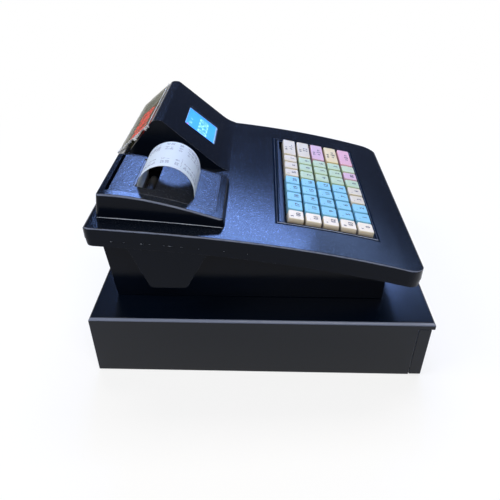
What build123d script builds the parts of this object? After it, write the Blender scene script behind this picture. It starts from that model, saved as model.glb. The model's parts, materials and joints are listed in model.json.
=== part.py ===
from build123d import *
import os
from math import atan, atan2, cos, degrees, pi, radians, sin, sqrt, tan

# Electronic cash register with a receipt printer, standing on its steel cash drawer.
# +X is the operator's right, -Y is the front, +Z is up; the origin is the middle of the
# drawer's footprint on the counter. All lengths are millimetres.

# --- clearances -------------------------------------------------------------------------
running = 0.1            # radial, shaft in its hole
free = 0.3               # between parts that pass each other
seat = 0.15              # between a shell and the curved shell that it stands on

# --- cash drawer ------------------------------------------------------------------------
drawer_width = 300.0
drawer_depth = 360.0
drawer_height = 77.0     # counter to the top of the case
foot_height = 1.5
foot_radius = 8.0
foot_inset = 24.0        # foot centre in from the case's sides, front and rear
sheet = 1.2              # steel of the case and the front
tray_sheet = 1.0         # steel of the sliding box
fold_radius = 4.0        # rolled edges of the case
lip_height = 8.0         # rolled nose over the drawer front
lip_overhang = 3.0       # how far the nose stands proud of the drawer front
panel_depth = 13.0
panel_gap = 0.6
base_flange = 12.0

slide_gap = 12.5         # case side to sliding box
box_bottom = 5.0
box_top = 62.0
latch_room = 45.8         # behind the box, inside the case
stay_in = 40.0            # length of the box that stays in the case when it is out
rail_gauge = 1.5
rail_reach = 8.0
rail_height = 18.0
rail_centre = 29.0       # height of the rail's middle above the counter
rail_spare = 40.0         # rail beyond what the rear rollers travel
roller_radius = 7.0
roller_width = 5.6
roller_pin = 2.0
runner_sheet = 1.2       # ledge along the box that the front rollers carry
runner_rise = 8.0
case_roller_inset = 11.4  # front rollers, behind the case's mouth
box_roller_inset = 10.0   # rear rollers, ahead of the box's rear end

# --- till insert ------------------------------------------------------------------------
till_play = 0.8           # around the insert in its box
till_rear_gap = 7.2
till_height = 54.0
till_wall = 2.2
till_floor = 2.0
till_divider = 1.8
coin_length = 82.0
coin_cups = 5
bill_slots = 4
scoop_radius = 26.0
clip_pin = 1.6
clip_hub = 3.0
clip_width = 22.0
clip_thickness = 2.4
clip_length = 82.0
clip_pivot_height = 54.0
ear_thickness = 1.8
ear_reach = 11.0

# --- latch and lock ---------------------------------------------------------------------
striker_radius = 2.3
striker_reach = 13.0      # striker pin behind the sliding box
striker_height = 22.0
latch_length = 25.0       # pivot behind the striker
latch_offset = 10.0
latch_hub = 6.0
latch_post = 3.0
latch_sheet = 3.0
latch_height = 14.0
latch_release = 15.0      # degrees from hooked to drawn
coil_radius = 9.0
coil_length = 24.0
coil_gap = 8.0            # between the latch's hub and the coil
lock_offset = 0.0         # sideways from the middle of the front
lock_height = 46.0
lock_radius = 8.0
lock_bezel = 10.5
lock_bezel_depth = 1.5
plug_radius = 5.5
cam_length = 14.0

# --- register shells --------------------------------------------------------------------
register_width = drawer_width
deck_front = -162.0
deck_rear = 167.0
shell = 2.5
deck_height = 96.8        # top of the deck above the drawer, at y = 0
deck_slope = 0.1395       # rise towards the rear
deck_crown = 3.5e-4
deck_flare = 4.4e-7
skirt = 13.0              # depth of the upper shell's edge
rim = 20.0                # depth of both shells' edges together
seam_inset = 0.7
corner_front = 20.0
corner_rear = 9.0
top_round = 1.6
front_round = 5.0
rear_round = 5.5
front_slant = 6.0         # how far the rim's underside steps in at the front
rear_slant = 3.5
register_foot = 1.0       # height of the register's own feet
body_inset = 40.0         # each side of the body, in from the rim
body_half_width = register_width / 2 - body_inset
body_front = -134.0
body_rear = 156.8
body_draft = 0.1          # how far the rear wall leans, per millimetre of height
bulge_top = (51.0, 127.0)
bulge_bottom = (73.0, 109.0)
bulge_floor = 42.0        # above the drawer
bulge_reach = register_width / 2 - 2.0
bulge_round = 5.0         # lower corners of the bulge
bulge_blend = 9.0         # hollow corners where it meets the rim
bulge_root = 0.4          # how far those corners sink into the rim

# --- keyboard ---------------------------------------------------------------------------
key_rows = 5
key_columns = 8
key_pitch_x = 19.6
key_pitch_y = 18.55
key_gap = 1.5             # between two neighbouring caps at their base
wide_key = 47.6
key_length = key_pitch_y - key_gap
key_draft = 0.8           # how much each side of a cap leans in
key_rise = 4.6            # cap top above the keyboard's plane
key_skirt = 3.2           # cap base below the keyboard's plane
key_dish = 0.7
key_corner = 1.1          # flat cut across each corner of a cap
key_travel = 3.0
stem = 5.0
stem_play = 0.15
well_margin = 4.3         # key block to the side walls of its well
well_half_width = (key_columns * key_pitch_x + wide_key) / 2 + well_margin
well_front = -118.6
well_rear = -20.8
well_wall = 2.2
well_depth = 7.5
well_floor = 2.0
array_shift = -2.0        # key block, towards the front of its well
board_thickness = 1.6
post_radius = 3.0

# --- printer cover and lid --------------------------------------------------------------
cover_inset = 20.4        # left wall, in from the deck's left end
cover_width = 93.6
cover_near = cover_inset - register_width / 2
cover_far = cover_near + cover_width
cover_front = 35.0
cover_rear = 158.0
cover_draft = 9.0         # degrees that the front and rear walls lean in
cover_corner = 4.0
cover_front_height = 109.8  # above the drawer
cover_slope = 41.0
cover_crown = 1.5
cover_droop = 13.0
cover_round = 2.0
lid_near = cover_near + 10.6
lid_far = cover_far - 4.5
lid_front = 44.0
lid_rear = 144.8
lid_thickness = 2.2
lid_gap = 0.4
lid_ledge = 2.0
lid_rear_gap = 3.4
hinge_radius = 1.6
hinge_drop = 5.0          # hinge axis below the lid's top
hinge_inset = 2.6         # hinge axis ahead of the lid's rear edge
hinge_wall = 0.9          # of the cover's eyes around the lid's pins
hinge_post = 9.0          # length of the posts that carry those eyes
mouth_front = 103.0
mouth_rear = 124.0
mouth_margin = 2.2        # mouth wider than the paper, each side

# --- paper and print mechanism ----------------------------------------------------------
paper_width = 57.5
paper_near = cover_near + 24.4
paper_thickness = 0.3
paper_y = 120.9           # where the paper passes the print head
roll_radius = 27.0
roll_core = 6.0
bucket_radius = 38.0
bucket_y = 80.0
bucket_height = 83.0      # centre of the bucket above the drawer
bucket_wall = 2.0
bucket_lips = (16.0, 6.0)  # how far its front and rear walls rise above its centre
cheek = 1.5
platen_radius = 4.6
platen_shaft = 1.5
platen_height = 111.0     # above the drawer
gear_module = 0.8
platen_teeth = 28
motor_teeth = 12
gear_width = 3.4
motor_radius = 12.0
motor_length = 11.0
motor_ears = (135, 315)   # degrees around the motor's axis
head_height = 20.0
head_depth = 2.0
sink_depth = 5.0

# --- display ----------------------------------------------------------------------------
display_near = 2.5        # near wall, at the ridge
display_splay = 8.0       # how far that wall stands out at its foot
display_front = 44.0      # where the front slope meets the deck
display_ridge = (112.5, 122.0)
display_height = 158.6    # ridge above the drawer
display_back = 150.0      # rear wall at the foot of the customer window
display_foot = 125.0      # height above the drawer of that foot
ridge_round = 8.0
slope_blend = 45.0        # hollow between the front slope and the deck
blend_root = 0.4          # how far that hollow sinks into the deck
lcd_near = 42.5
lcd_far = 101.0
lcd_low = 18.0            # along the front slope, from its foot
lcd_high = 62.0
window_thickness = 1.5
window_recess = 0.5
customer_foot = (161.5, 125.2)
customer_sheet = 1.6
digits_width = 95.0       # customer's digit module, lying on the rear wall
digits_middle = 67.5
digits_low = 6.0
digits_high = 22.0
digits_thickness = 1.5

deck_mid = drawer_height + deck_height
half = register_width / 2


# === shared shapes ======================================================================
def block(x0, x1, y0, y1, z0, z1):
    return Pos((x0 + x1) / 2, (y0 + y1) / 2, (z0 + z1) / 2) * Box(x1 - x0, y1 - y0, z1 - z0)


def rod_x(x0, x1, y, z, radius):
    return Pos((x0 + x1) / 2, y, z) * Rot(0, 90, 0) * Cylinder(radius, x1 - x0)


def rod_y(y0, y1, x, z, radius):
    return Pos(x, (y0 + y1) / 2, z) * Rot(90, 0, 0) * Cylinder(radius, y1 - y0)


def rod_z(z0, z1, x, y, radius):
    return Pos(x, y, (z0 + z1) / 2) * Cylinder(radius, z1 - z0)


def side_solid(edges, x0, x1):
    """Closed outline of edges in (y, z), carried sideways from x0 to x1."""
    outline = Curve() + [Plane.YZ * edge for edge in edges]
    return Pos(x0, 0, 0) * extrude(make_face(outline.edges()), amount=x1 - x0, dir=(1, 0, 0))


def side_polygon(points, x0, x1):
    return side_solid([Polyline(*points, close=True)], x0, x1)


def band(height, low, high, x0, x1, y0, y1, stations=6):
    """Solid between two copies of a height curve, moved down and up from it."""
    ys = [y0 + (y1 - y0) * i / (stations - 1) for i in range(stations)]
    top = Spline(*[(y, height(y) + high) for y in ys])
    bottom = Spline(*[(y, height(y) + low) for y in ys])
    ends = [Line(bottom @ 0, top @ 0), Line(bottom @ 1, top @ 1)]
    return side_solid([top, bottom, *ends], x0, x1)


def plan_prism(x_half, y0, y1, front_radius, rear_radius, z0, z1):
    """Upright block with round corners, seen from above."""
    sketch = Pos(0, (y0 + y1) / 2) * Rectangle(2 * x_half, y1 - y0)
    sketch = fillet(sketch.vertices().sort_by(Axis.Y)[:2], front_radius)
    sketch = fillet(sketch.vertices().sort_by(Axis.Y)[-2:], rear_radius)
    return Pos(0, 0, z0) * extrude(sketch, amount=z1 - z0)


def gear(teeth, width, phase):
    """Spur gear about X, starting at x = 0, with straight-flanked teeth and backlash."""
    pitch = gear_module * teeth / 2
    tip, root = pitch + 0.85 * gear_module, pitch - 1.15 * gear_module
    points = []
    for tooth in range(teeth):
        middle = phase + 2 * pi * tooth / teeth
        for radius, share in ((root, -0.34), (tip, -0.13), (tip, 0.13), (root, 0.34)):
            angle = middle + share * 2 * pi / teeth
            points.append((radius * cos(angle), radius * sin(angle)))
    return side_polygon(points, 0, width)


def deck_z(y):
    return deck_mid + deck_slope * y - deck_crown * y**2 + deck_flare * y**3


def cover_z(y):
    t = (y - cover_front) / (cover_rear - cover_front)
    rise = cover_slope * t - cover_crown * t**2 - cover_droop * t**3
    return drawer_height + cover_front_height + rise


# === cash drawer ========================================================================
case_half = drawer_width / 2
case_rear = drawer_depth / 2
front_face = -drawer_depth / 2
panel_back = front_face + panel_depth
case_mouth = panel_back + panel_gap
nose = front_face - lip_overhang
lip_bottom = drawer_height - lip_height
inner_half = case_half - sheet
box_half = inner_half - slide_gap
box_rear = case_rear - sheet - latch_room
drawer_travel = box_rear - panel_back - stay_in
base_top = foot_height + sheet


def drawer_case():
    outer = block(-case_half, case_half, case_mouth, case_rear, foot_height, drawer_height)
    outer += block(-case_half, case_half, nose, case_mouth, lip_bottom, drawer_height)
    long_edges = outer.edges().filter_by(Axis.Y).group_by(Axis.Z)[-1]
    cross_edges = outer.edges().filter_by(Axis.X).group_by(Axis.Z)[-1]
    outer = fillet(long_edges + cross_edges, fold_radius - 0.1)
    inner = block(-inner_half, inner_half, case_mouth - 1, case_rear - sheet, 0, drawer_height - sheet)
    inner += block(-inner_half, inner_half, nose + sheet, case_mouth, lip_bottom + sheet,
                   drawer_height - sheet)
    long_inner = inner.edges().filter_by(Axis.Y).group_by(Axis.Z)[-1]
    return outer - fillet(long_inner, fold_radius - sheet)


def case_base():
    outer = block(-inner_half, inner_half, case_mouth, case_rear - sheet, foot_height,
                  foot_height + base_flange)
    tub = block(-inner_half + sheet, inner_half - sheet, case_mouth - 1, case_rear - 2 * sheet,
                base_top, foot_height + base_flange + 1)
    post = rod_z(base_top, latch_height + latch_sheet + 1, *latch_pivot, latch_post)
    coil_cradle = block(coil_x - 2, coil_x + coil_length + 2, latch_pivot[1] - coil_radius,
                        latch_pivot[1] + coil_radius - 6, base_top, base_top + 3)
    return outer - tub + post + coil_cradle


def rubber_feet():
    feet = Part()
    for side in (-1, 1):
        for y in (case_mouth + foot_inset, case_rear - foot_inset):
            feet += rod_z(0, foot_height, side * (case_half - foot_inset), y, foot_radius)
        for y in (body_front + foot_inset, body_rear - foot_inset):
            feet += rod_z(drawer_height, drawer_height + register_foot,
                          side * (body_half_width - foot_inset), y, foot_radius)
    return feet


rail_front = case_mouth + 16.0
rail_rear = rail_front + drawer_travel + rail_spare
case_roller_y = case_mouth + case_roller_inset
case_roller_z = rail_centre + rail_height / 2 + roller_radius + 1
box_roller_y = box_rear - box_roller_inset
box_roller_radius = rail_height / 2 - rail_gauge - free
runner_z = case_roller_z + roller_radius + free
roller_outer = inner_half - rail_gauge - free
runner_outer = roller_outer + 0.5


def drawer_rails():
    rails = Part()
    low, high = rail_centre - rail_height / 2, rail_centre + rail_height / 2
    for side in (-1, 1):
        channel = block(inner_half - rail_reach, inner_half, rail_front, rail_rear, low, high)
        channel -= block(0, inner_half - rail_gauge, rail_front - 1, rail_rear + 1,
                         low + rail_gauge, high - rail_gauge)
        pin = rod_x(roller_outer - roller_width - 0.6, inner_half, case_roller_y, case_roller_z,
                    roller_pin)
        pair = channel + pin
        rails += pair if side > 0 else mirror(pair, Plane.YZ)
    return rails


def rollers(y, z, radius):
    tyre = rod_x(roller_outer - roller_width, roller_outer, y, z, radius)
    tyre -= rod_x(0, inner_half, y, z, roller_pin + running)
    tyre = chamfer(tyre.edges().filter_by(GeomType.CIRCLE).group_by(SortBy.RADIUS)[-1], 0.6)
    return tyre + mirror(tyre, Plane.YZ)


def drawer_box():
    outer = block(-box_half, box_half, panel_back, box_rear, box_bottom, box_top)
    tray = outer - block(-box_half + tray_sheet, box_half - tray_sheet, panel_back + tray_sheet,
                         box_rear - tray_sheet, box_bottom + tray_sheet, box_top + 1)
    runner_front, runner_rear = panel_back + 2, box_rear - 2
    runner = block(box_half, runner_outer, runner_front, runner_rear, runner_z, runner_z + runner_sheet)
    runner += block(box_half, box_half + runner_sheet, runner_front, runner_rear, runner_z,
                    min(runner_z + runner_rise, box_top))
    axle = rod_x(box_half - tray_sheet, roller_outer + 0.2, box_roller_y, rail_centre, roller_pin)
    side = runner + axle
    bracket = block(-5, 5, box_rear, striker_y + striker_radius + 1, striker_height,
                    striker_height + 2)
    striker = rod_z(latch_height - 4, striker_height + 1, 0, striker_y, striker_radius)
    return tray + side + mirror(side, Plane.YZ) + bracket + striker


def drawer_front():
    top = lip_bottom - panel_gap
    panel = block(-case_half, case_half, front_face, panel_back, foot_height + 1, top)
    panel = fillet(panel.edges().group_by(Axis.Y)[0], 1.2)
    panel -= block(-inner_half, inner_half, front_face + sheet, panel_back + 1,
                   foot_height + 1 + sheet, top - sheet)
    panel -= rod_y(front_face - 1, panel_back, lock_offset, lock_height, lock_radius + running)
    barrel = rod_y(front_face - lock_bezel_depth, front_face, lock_offset, lock_height, lock_bezel)
    barrel += rod_y(front_face, panel_back - 3.4, lock_offset, lock_height, lock_radius)
    barrel -= rod_y(nose, panel_back, lock_offset, lock_height, plug_radius + running)
    return Part() + [panel, barrel]


def drawer_lock():
    plug = rod_y(front_face - lock_bezel_depth + 0.3, panel_back - 2.8, lock_offset, lock_height,
                 plug_radius)
    slot = block(lock_offset - 0.7, lock_offset + 0.7, nose, front_face + 5, lock_height - 3.6,
                 lock_height + 3.6)
    cam = block(lock_offset - plug_radius, lock_offset + cam_length, panel_back - 2.8,
                panel_back - 1.3, lock_height - 4, lock_height + 4)
    return plug - slot + cam


# === till insert ========================================================================
till_half = box_half - tray_sheet - till_play
till_front = panel_back + tray_sheet + till_play
till_rear = box_rear - tray_sheet - till_rear_gap
till_bottom = box_bottom + tray_sheet
till_top = till_bottom + till_height
coin_rear = till_front + till_wall + coin_length
bill_front = coin_rear + till_divider
bill_rear = till_rear - till_wall
till_inner = 2 * (till_half - till_wall)
coin_width = (till_inner - (coin_cups - 1) * till_divider) / coin_cups
bill_width = (till_inner - (bill_slots - 1) * till_divider) / bill_slots
clip_y = bill_rear - ear_reach + clip_hub
slot_floor = till_bottom + till_floor


def bill_centre(slot):
    return -till_half + till_wall + (slot + 0.5) * bill_width + slot * till_divider


def till_tray():
    tray = block(-till_half, till_half, till_front, till_rear, till_bottom, till_top)
    for cup in range(coin_cups):
        x0 = -till_half + till_wall + cup * (coin_width + till_divider)
        hollow = block(x0, x0 + coin_width, till_front + till_wall, coin_rear, slot_floor, till_top + 1)
        front_edge = hollow.edges().filter_by(Axis.X).group_by(Axis.Z)[0].sort_by(Axis.Y)[0]
        tray -= fillet(front_edge, scoop_radius)
    for slot in range(bill_slots):
        middle = bill_centre(slot)
        tray -= block(middle - bill_width / 2, middle + bill_width / 2, bill_front, bill_rear,
                      slot_floor, till_top + 1)
        for side in (-1, 1):
            inner = middle + side * (clip_width / 2 + free)
            outer = inner + side * ear_thickness
            ear = block(min(inner, outer), max(inner, outer), bill_rear - ear_reach, bill_rear,
                        clip_pivot_height - 6, till_top)
            tray += ear - rod_x(middle - clip_width, middle + clip_width, clip_y, clip_pivot_height,
                                clip_pin + running)
    return tray


def bill_clip(slot):
    """Hold-down lever, lying with its toe just over the slot's floor."""
    middle = bill_centre(slot)
    toe_z = slot_floor + clip_thickness / 2 + free
    drop = clip_pivot_height - toe_z
    reach = sqrt(clip_length**2 - drop**2)
    lean = degrees(atan2(drop, reach))
    bar = Pos(0, -clip_length / 2, 0) * Box(clip_width - 6, clip_length, clip_thickness)
    toe = rod_x(-clip_width / 2, clip_width / 2, -clip_length, 0, clip_thickness / 2)
    hub = rod_x(-clip_width / 2, clip_width / 2, 0, 0, clip_hub)
    trunnion = clip_width / 2 + free + ear_thickness - 0.2
    lever = Rot(lean, 0, 0) * (bar + toe + hub + rod_x(-trunnion, trunnion, 0, 0, clip_pin))
    return Pos(middle, clip_y, clip_pivot_height) * lever


# === latch ==============================================================================
striker_y = box_rear + striker_reach
latch_pivot = (latch_offset, striker_y + latch_length)
coil_x = latch_offset + latch_hub + coil_gap


def drawer_latch():
    """Hook lever, drawn modelled in its hooked place and then turned to its released place."""
    px, py = latch_pivot
    z0, z1 = latch_height, latch_height + latch_sheet
    hook_rear = striker_y - striker_radius - 0.7
    lever = rod_z(z0, z1, px, py, latch_hub)
    lever += block(px - 5, px, hook_rear - 3.6, py, z0, z1)
    lever += block(-3.5, px, hook_rear - 3.6, hook_rear, z0, z1)
    lever += block(px, px + 9, py - 3, py + 3, z0, z1)
    lever -= rod_z(z0 - 1, z1 + 1, px, py, latch_post + running)
    return Pos(px, py, 0) * Rot(0, 0, latch_release) * Pos(-px, -py, 0) * lever


def latch_solenoid():
    y, z = latch_pivot[1] - 4, base_top + 3 + coil_radius
    coil = rod_x(coil_x, coil_x + coil_length, y, z, coil_radius)
    core = rod_x(coil_x - 1, coil_x + coil_length + 1, y, z, 3)
    ends = block(coil_x - 1.5, coil_x, y - coil_radius, y + coil_radius, base_top + 3, z + coil_radius)
    ends += Pos(coil_length + 1.5, 0, 0) * ends
    return coil + core + ends


# === register shells ====================================================================
body_bottom = drawer_height + register_foot


def plan_cut(inset, z0, z1):
    return plan_prism(half - inset, deck_front + inset, deck_rear - inset,
                      corner_front - inset, corner_rear - inset, z0, z1)


def deck_slab(low, high, inset):
    slab = band(deck_z, low, high, -half, half, deck_front - 5, deck_rear + 5)
    return slab & plan_cut(inset, body_bottom, drawer_height + display_height)


def round_over(y_end, radius, toward):
    """Cutter that rounds the deck into its front (toward = -1) or rear (+1) face."""
    y_axis = y_end - toward * radius
    slope = deck_slope - 2 * deck_crown * y_axis + 3 * deck_flare * y_axis**2
    length = sqrt(1 + slope**2)
    z_axis = deck_z(y_axis) - radius * length
    tangent_y = y_axis - radius * slope / length
    y0, y1 = sorted((y_end + toward * 2, tangent_y))
    corner = block(-half - 1, half + 1, y0, y1, z_axis, z_axis + 2 * radius)
    return corner - rod_x(-half - 2, half + 2, y_axis, z_axis, radius)


def upper_housing():
    outer = deck_slab(-skirt, 0, 0)
    top_face = outer.faces().sort_by(lambda face: face.normal_at().Z)[-1]
    outer = fillet(top_face.edges(), top_round)
    outer = outer - round_over(deck_rear, rear_round, 1) - round_over(deck_front, front_round, -1)
    inner = deck_slab(-skirt - 5, -shell, shell)
    well = key_plane * Pos(0, 0, -6) * Box(2 * (well_half_width + free), well_length + 2 * free, 24)
    bay = block(cover_near + shell + 0.5, cover_far - shell - 0.5, cover_front + shell + 3,
                cover_rear - shell - 4, drawer_height, drawer_height + display_height)
    return outer - inner - well - bay


def rim_slant(y_end, toward, depth):
    """Cutter that leans the end of the lower flange inwards towards its underside."""
    y_low = y_end - toward * depth
    z_low, z_high = deck_z(y_low) - rim, deck_z(y_end) - skirt
    points = [(y_low, z_low), (y_end, z_high), (y_end + toward * 3, z_high),
              (y_end + toward * 3, z_low - 9), (y_low, z_low - 9)]
    return side_polygon(points, -half - 1, half + 1)


def body_outline(inset, low):
    """Side view of the body below the rim, taken in by an inset from its outer faces."""
    top = deck_z(body_rear) - skirt
    rise = top - drawer_height
    return [(body_front + inset, low), (body_rear - inset, low),
            (body_rear - inset + body_draft * rise, top), (body_front + inset, top)]


def rim_bottom(y):
    return deck_z(y) - rim


def bulge_outline(inset, rise):
    """Side view of the bulge, reaching a little above the rim's underside."""
    z0 = drawer_height + bulge_floor + inset
    front, rear = bulge_top
    return [(bulge_bottom[0] + inset, z0), (bulge_bottom[1] - inset, z0),
            (rear - inset, rim_bottom(rear) + rise), (front + inset, rim_bottom(front) + rise)]


def bulge_solid():
    """The bulge, running into the rim's underside with hollow corners."""
    lower_front, lower_rear, upper_rear, upper_front = bulge_outline(0, bulge_root)
    low, high = bulge_top[0] - 1.5 * bulge_blend, bulge_top[1] + 1.5 * bulge_blend
    ends = [(y, rim_bottom(y) + rise)
            for y, rise in ((high, bulge_root), (high, shell / 2), (low, shell / 2), (low, bulge_root))]
    outline = make_face(Polyline(lower_front, lower_rear, upper_rear, *ends, upper_front,
                                 close=True).edges())
    outline = fillet(outline.vertices().sort_by(Axis.Y)[:2], bulge_round)
    hollow_corners = [corner for corner in outline.vertices()
                      if min(abs(corner.X - y) for y in bulge_top) < 0.01]
    outline = Plane.YZ * fillet(hollow_corners, bulge_blend)
    return Pos(-bulge_reach, 0, 0) * extrude(outline, amount=bulge_reach - body_half_width + shell,
                                             dir=(1, 0, 0))


def lower_housing():
    flange = deck_slab(-rim, -skirt, seam_inset)
    flange -= rim_slant(deck_rear, 1, rear_slant) + rim_slant(deck_front, -1, front_slant)
    flange_inside = deck_slab(-rim + shell, -skirt + 1, seam_inset + shell)
    flange_inside -= (rim_slant(deck_rear - shell, 1, rear_slant)
                      + rim_slant(deck_front + shell, -1, front_slant))
    under_deck = band(deck_z, -200, -rim + 0.5, -half, half, deck_front, deck_rear)
    body = side_polygon(body_outline(0, body_bottom), -body_half_width, body_half_width) & under_deck
    inside_top = band(deck_z, -200, -skirt + 1, -half, half, deck_front, deck_rear)
    hollow = side_polygon(body_outline(shell, body_bottom + shell), -body_half_width + shell,
                          body_half_width - shell)
    pocket = side_polygon(bulge_outline(shell, shell + 1), -bulge_reach + shell,
                          -body_half_width + shell + 1)
    outer = (flange - flange_inside) + body + bulge_solid()
    outer = outer - (hollow & inside_top) - (pocket & inside_top)
    inlet = rod_y(body_rear - 2 * shell, deck_rear, inlet_x, inlet_z, inlet_radius + running)
    bosses = Part()
    for x in board_post_x:
        for y in board_post_y:
            bosses += rod_z(body_bottom, body_bottom + shell + 5, x, y, post_radius)
    for x in (paper_near + 5, paper_near + paper_width - 5):
        for y in (bucket_y - 12, bucket_y + 12):
            bosses += rod_z(body_bottom, foot_of_bucket, x, y, post_radius)
    return outer + bosses - inlet


# === keyboard ===========================================================================
well_tilt = atan((deck_z(well_rear) - deck_z(well_front)) / (well_rear - well_front))
well_length = (well_rear - well_front) / cos(well_tilt)
key_plane = Plane(
    origin=(0, (well_front + well_rear) / 2, (deck_z(well_front) + deck_z(well_rear)) / 2),
    x_dir=(1, 0, 0), z_dir=(0, -sin(well_tilt), cos(well_tilt)))
single_width = key_pitch_x - key_gap
block_width = key_columns * key_pitch_x + wide_key
stem_low = -well_depth - well_floor - 1.0
board_top = stem_low - key_travel - 0.4


def key_x(column):
    if column < key_columns:
        return -block_width / 2 + (column + 0.5) * key_pitch_x
    return block_width / 2 - wide_key / 2 + key_gap / 2


def key_y(row):
    return array_shift + ((key_rows - 1) / 2 - row) * key_pitch_y


def keycap(row, column):
    """One cap with its square stem: leaning sides and a shallow dish across the top."""
    width = single_width if column < key_columns else wide_key - key_gap
    height = key_rise + key_skirt
    lean = degrees(atan(key_draft / height))
    base = Rectangle(width, key_length)
    base = chamfer(base.vertices(), key_corner)
    cap = extrude(base, amount=height, taper=lean)
    top_width = width - 2 * key_draft
    dish_radius = top_width**2 / (8 * key_dish) + key_dish / 2
    cap -= rod_y(-key_length, key_length, 0, height - key_dish + dish_radius, dish_radius)
    shaft = block(-stem / 2, stem / 2, -stem / 2, stem / 2, stem_low + key_skirt, 1)
    return key_plane * Pos(key_x(column), key_y(row), -key_skirt) * (cap + shaft)


def key_group(places):
    return Part() + [keycap(row, column) for row, column in places]


key_nodes = {
    "function_keys": [(row, 0) for row in range(key_rows)],
    "department_keys_1": [(row, 1) for row in range(key_rows)],
    "department_keys_2": [(row, 2) for row in range(key_rows)],
    "department_keys_3": [(row, 3) for row in range(key_rows - 1)],
    "department_keys_4": [(row, 4) for row in range(key_rows - 1)],
    "clear_keys": [(key_rows - 1, 3), (key_rows - 1, 4)],
    "register_keys": [(0, 5), (0, 6), (0, 7)],
    "feed_key": [(0, key_columns)],
    "charge_key": [(1, key_columns)],
    "check_key": [(2, key_columns)],
    "subtotal_key": [(3, key_columns)],
    "cash_key": [(4, key_columns)],
}
pad_rows = (("7", "8", "9"), ("4", "5", "6"), ("1", "2", "3"), ("0", "00", "point"))
for pad_row, names in enumerate(pad_rows):
    for pad_column, name in enumerate(names):
        key_nodes["key_" + name] = [(1 + pad_row, 5 + pad_column)]


def keyboard_frame():
    """Shallow well that the caps stand in, with a square guide for every stem."""
    depth = well_depth + well_floor
    tray = block(-well_half_width, well_half_width, -well_length / 2, well_length / 2, -depth, -0.4)
    tray -= block(-well_half_width + well_wall, well_half_width - well_wall,
                  -well_length / 2 + well_wall, well_length / 2 - well_wall, -well_depth, 1)
    guide = stem / 2 + stem_play
    for column in range(key_columns + 1):
        for row in range(key_rows):
            x, y = key_x(column), key_y(row)
            tray -= block(x - guide, x + guide, y - guide, y + guide, -depth - 1, 0)
    lip = block(-well_half_width - 3, well_half_width + 3, -well_length / 2 - 3, well_length / 2 + 3,
                -depth, -depth + 2)
    lip -= block(-well_half_width, well_half_width, -well_length / 2, well_length / 2, -depth - 1, 0)
    tray += lip
    for x in (-well_half_width + 2 * post_radius, well_half_width - 2 * post_radius):
        for y in (-well_length / 2 + post_radius, well_length / 2 - post_radius):
            tray += rod_z(board_top, -depth, x, y, post_radius - 0.5)
    return key_plane * tray


# === boards and inlet ===================================================================
inlet_x = 70.0
inlet_z = drawer_height + 22.0
inlet_radius = 6.0
board_edge = 8.0          # main board, beyond its posts
board_post_x = (-20.0, body_half_width - 25.0)
board_post_y = (20.0, 130.0)
chip_place = (32.0, 72.0)
chip_side = 24.0
header_place = (10.0, 114.0)
header_length = 40.0


def circuit_boards():
    key_board = key_plane * block(-well_half_width + 1, well_half_width - 1, -well_length / 2,
                                  well_length / 2, board_top - board_thickness, board_top)
    z = body_bottom + shell + 5
    main_board = block(board_post_x[0] - board_edge, board_post_x[1] + board_edge,
                       board_post_y[0] - board_edge, board_post_y[1] + board_edge, z,
                       z + board_thickness)
    top = z + board_thickness
    chip = Pos(*chip_place, top + 1.5) * Box(chip_side, chip_side, 3)
    header = Pos(*header_place, top + 4.5) * Box(header_length, 8, 9)
    return Part() + [key_board, main_board + chip + header]


def power_socket():
    y1 = body_rear + body_draft * (inlet_z - drawer_height)
    socket = rod_y(y1 - shell - 9, y1 + 0.8, inlet_x, inlet_z, inlet_radius)
    socket += rod_y(y1 - shell - 9, y1 - shell - 1, inlet_x, inlet_z, inlet_radius + 2)
    socket -= rod_y(y1 - 9, y1 + 2, inlet_x, inlet_z, 3.2)
    return socket + rod_y(y1 - 9, y1 - 1, inlet_x, inlet_z, 1.05)


# === printer cover ======================================================================
def cover_walls(inset):
    """Block with leaning front and rear walls and round upright corners, on the deck."""
    lean = tan(radians(cover_draft))
    base_front, base_rear = deck_z(cover_front), deck_z(cover_rear)
    low, high = base_front - 4 * shell, base_rear + cover_slope
    points = [(cover_front + inset + lean * (z - base_front), z) for z in (low, high)]
    points += [(cover_rear - inset - lean * (z - base_rear), z) for z in (high, low)]
    walls = side_polygon(points, cover_near + inset, cover_far - inset)
    upright = [edge for edge in walls.edges() if abs(edge.tangent_at(0).Z) > 0.9]
    return fillet(upright, cover_corner - inset)


def printer_cover():
    outer = cover_walls(0) & band(cover_z, -120, 0, cover_near, cover_far, cover_front - 5,
                                  cover_rear + 5)
    top_edges = outer.faces().sort_by(Axis.Z)[-1].edges()
    outer = fillet(top_edges, cover_round)
    outer -= band(deck_z, -200, seat, -half, half, deck_front, deck_rear)
    inner = cover_walls(shell) & band(cover_z, -120, -shell - lid_thickness, cover_near, cover_far,
                                      cover_front, cover_rear)
    recess = band(cover_z, -lid_thickness - 0.2, 5, lid_near - lid_gap, lid_far + lid_gap,
                  lid_front - lid_gap, lid_rear + lid_rear_gap)
    through = band(cover_z, -30, 5, lid_near + lid_ledge, lid_far - lid_ledge,
                   lid_front + lid_ledge, lid_rear + lid_rear_gap)
    y, z = hinge_point()
    eye = hinge_radius + hinge_wall
    sweep = sqrt(hinge_inset**2 + hinge_drop**2) + free
    cover = outer - inner - recess - through
    cover -= rod_x(lid_near - lid_gap, lid_far + lid_gap, y, z, sweep)
    for x in (lid_near + lid_ledge, lid_far - lid_ledge):
        near, far = x - ear_thickness, x + ear_thickness
        cover += rod_x(near, far, y, z, eye)
        cover += block(near, far, y - eye, y + hinge_radius + free, z - hinge_post, z)
        cover += block(near, far, y - eye, cover_rear, z - hinge_post, z - sweep) & outer
    return cover - rod_x(lid_near - 1, lid_far + 1, y, z, hinge_radius + running)


def hinge_point():
    y = lid_rear - hinge_inset
    return y, cover_z(y) - hinge_drop


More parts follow.
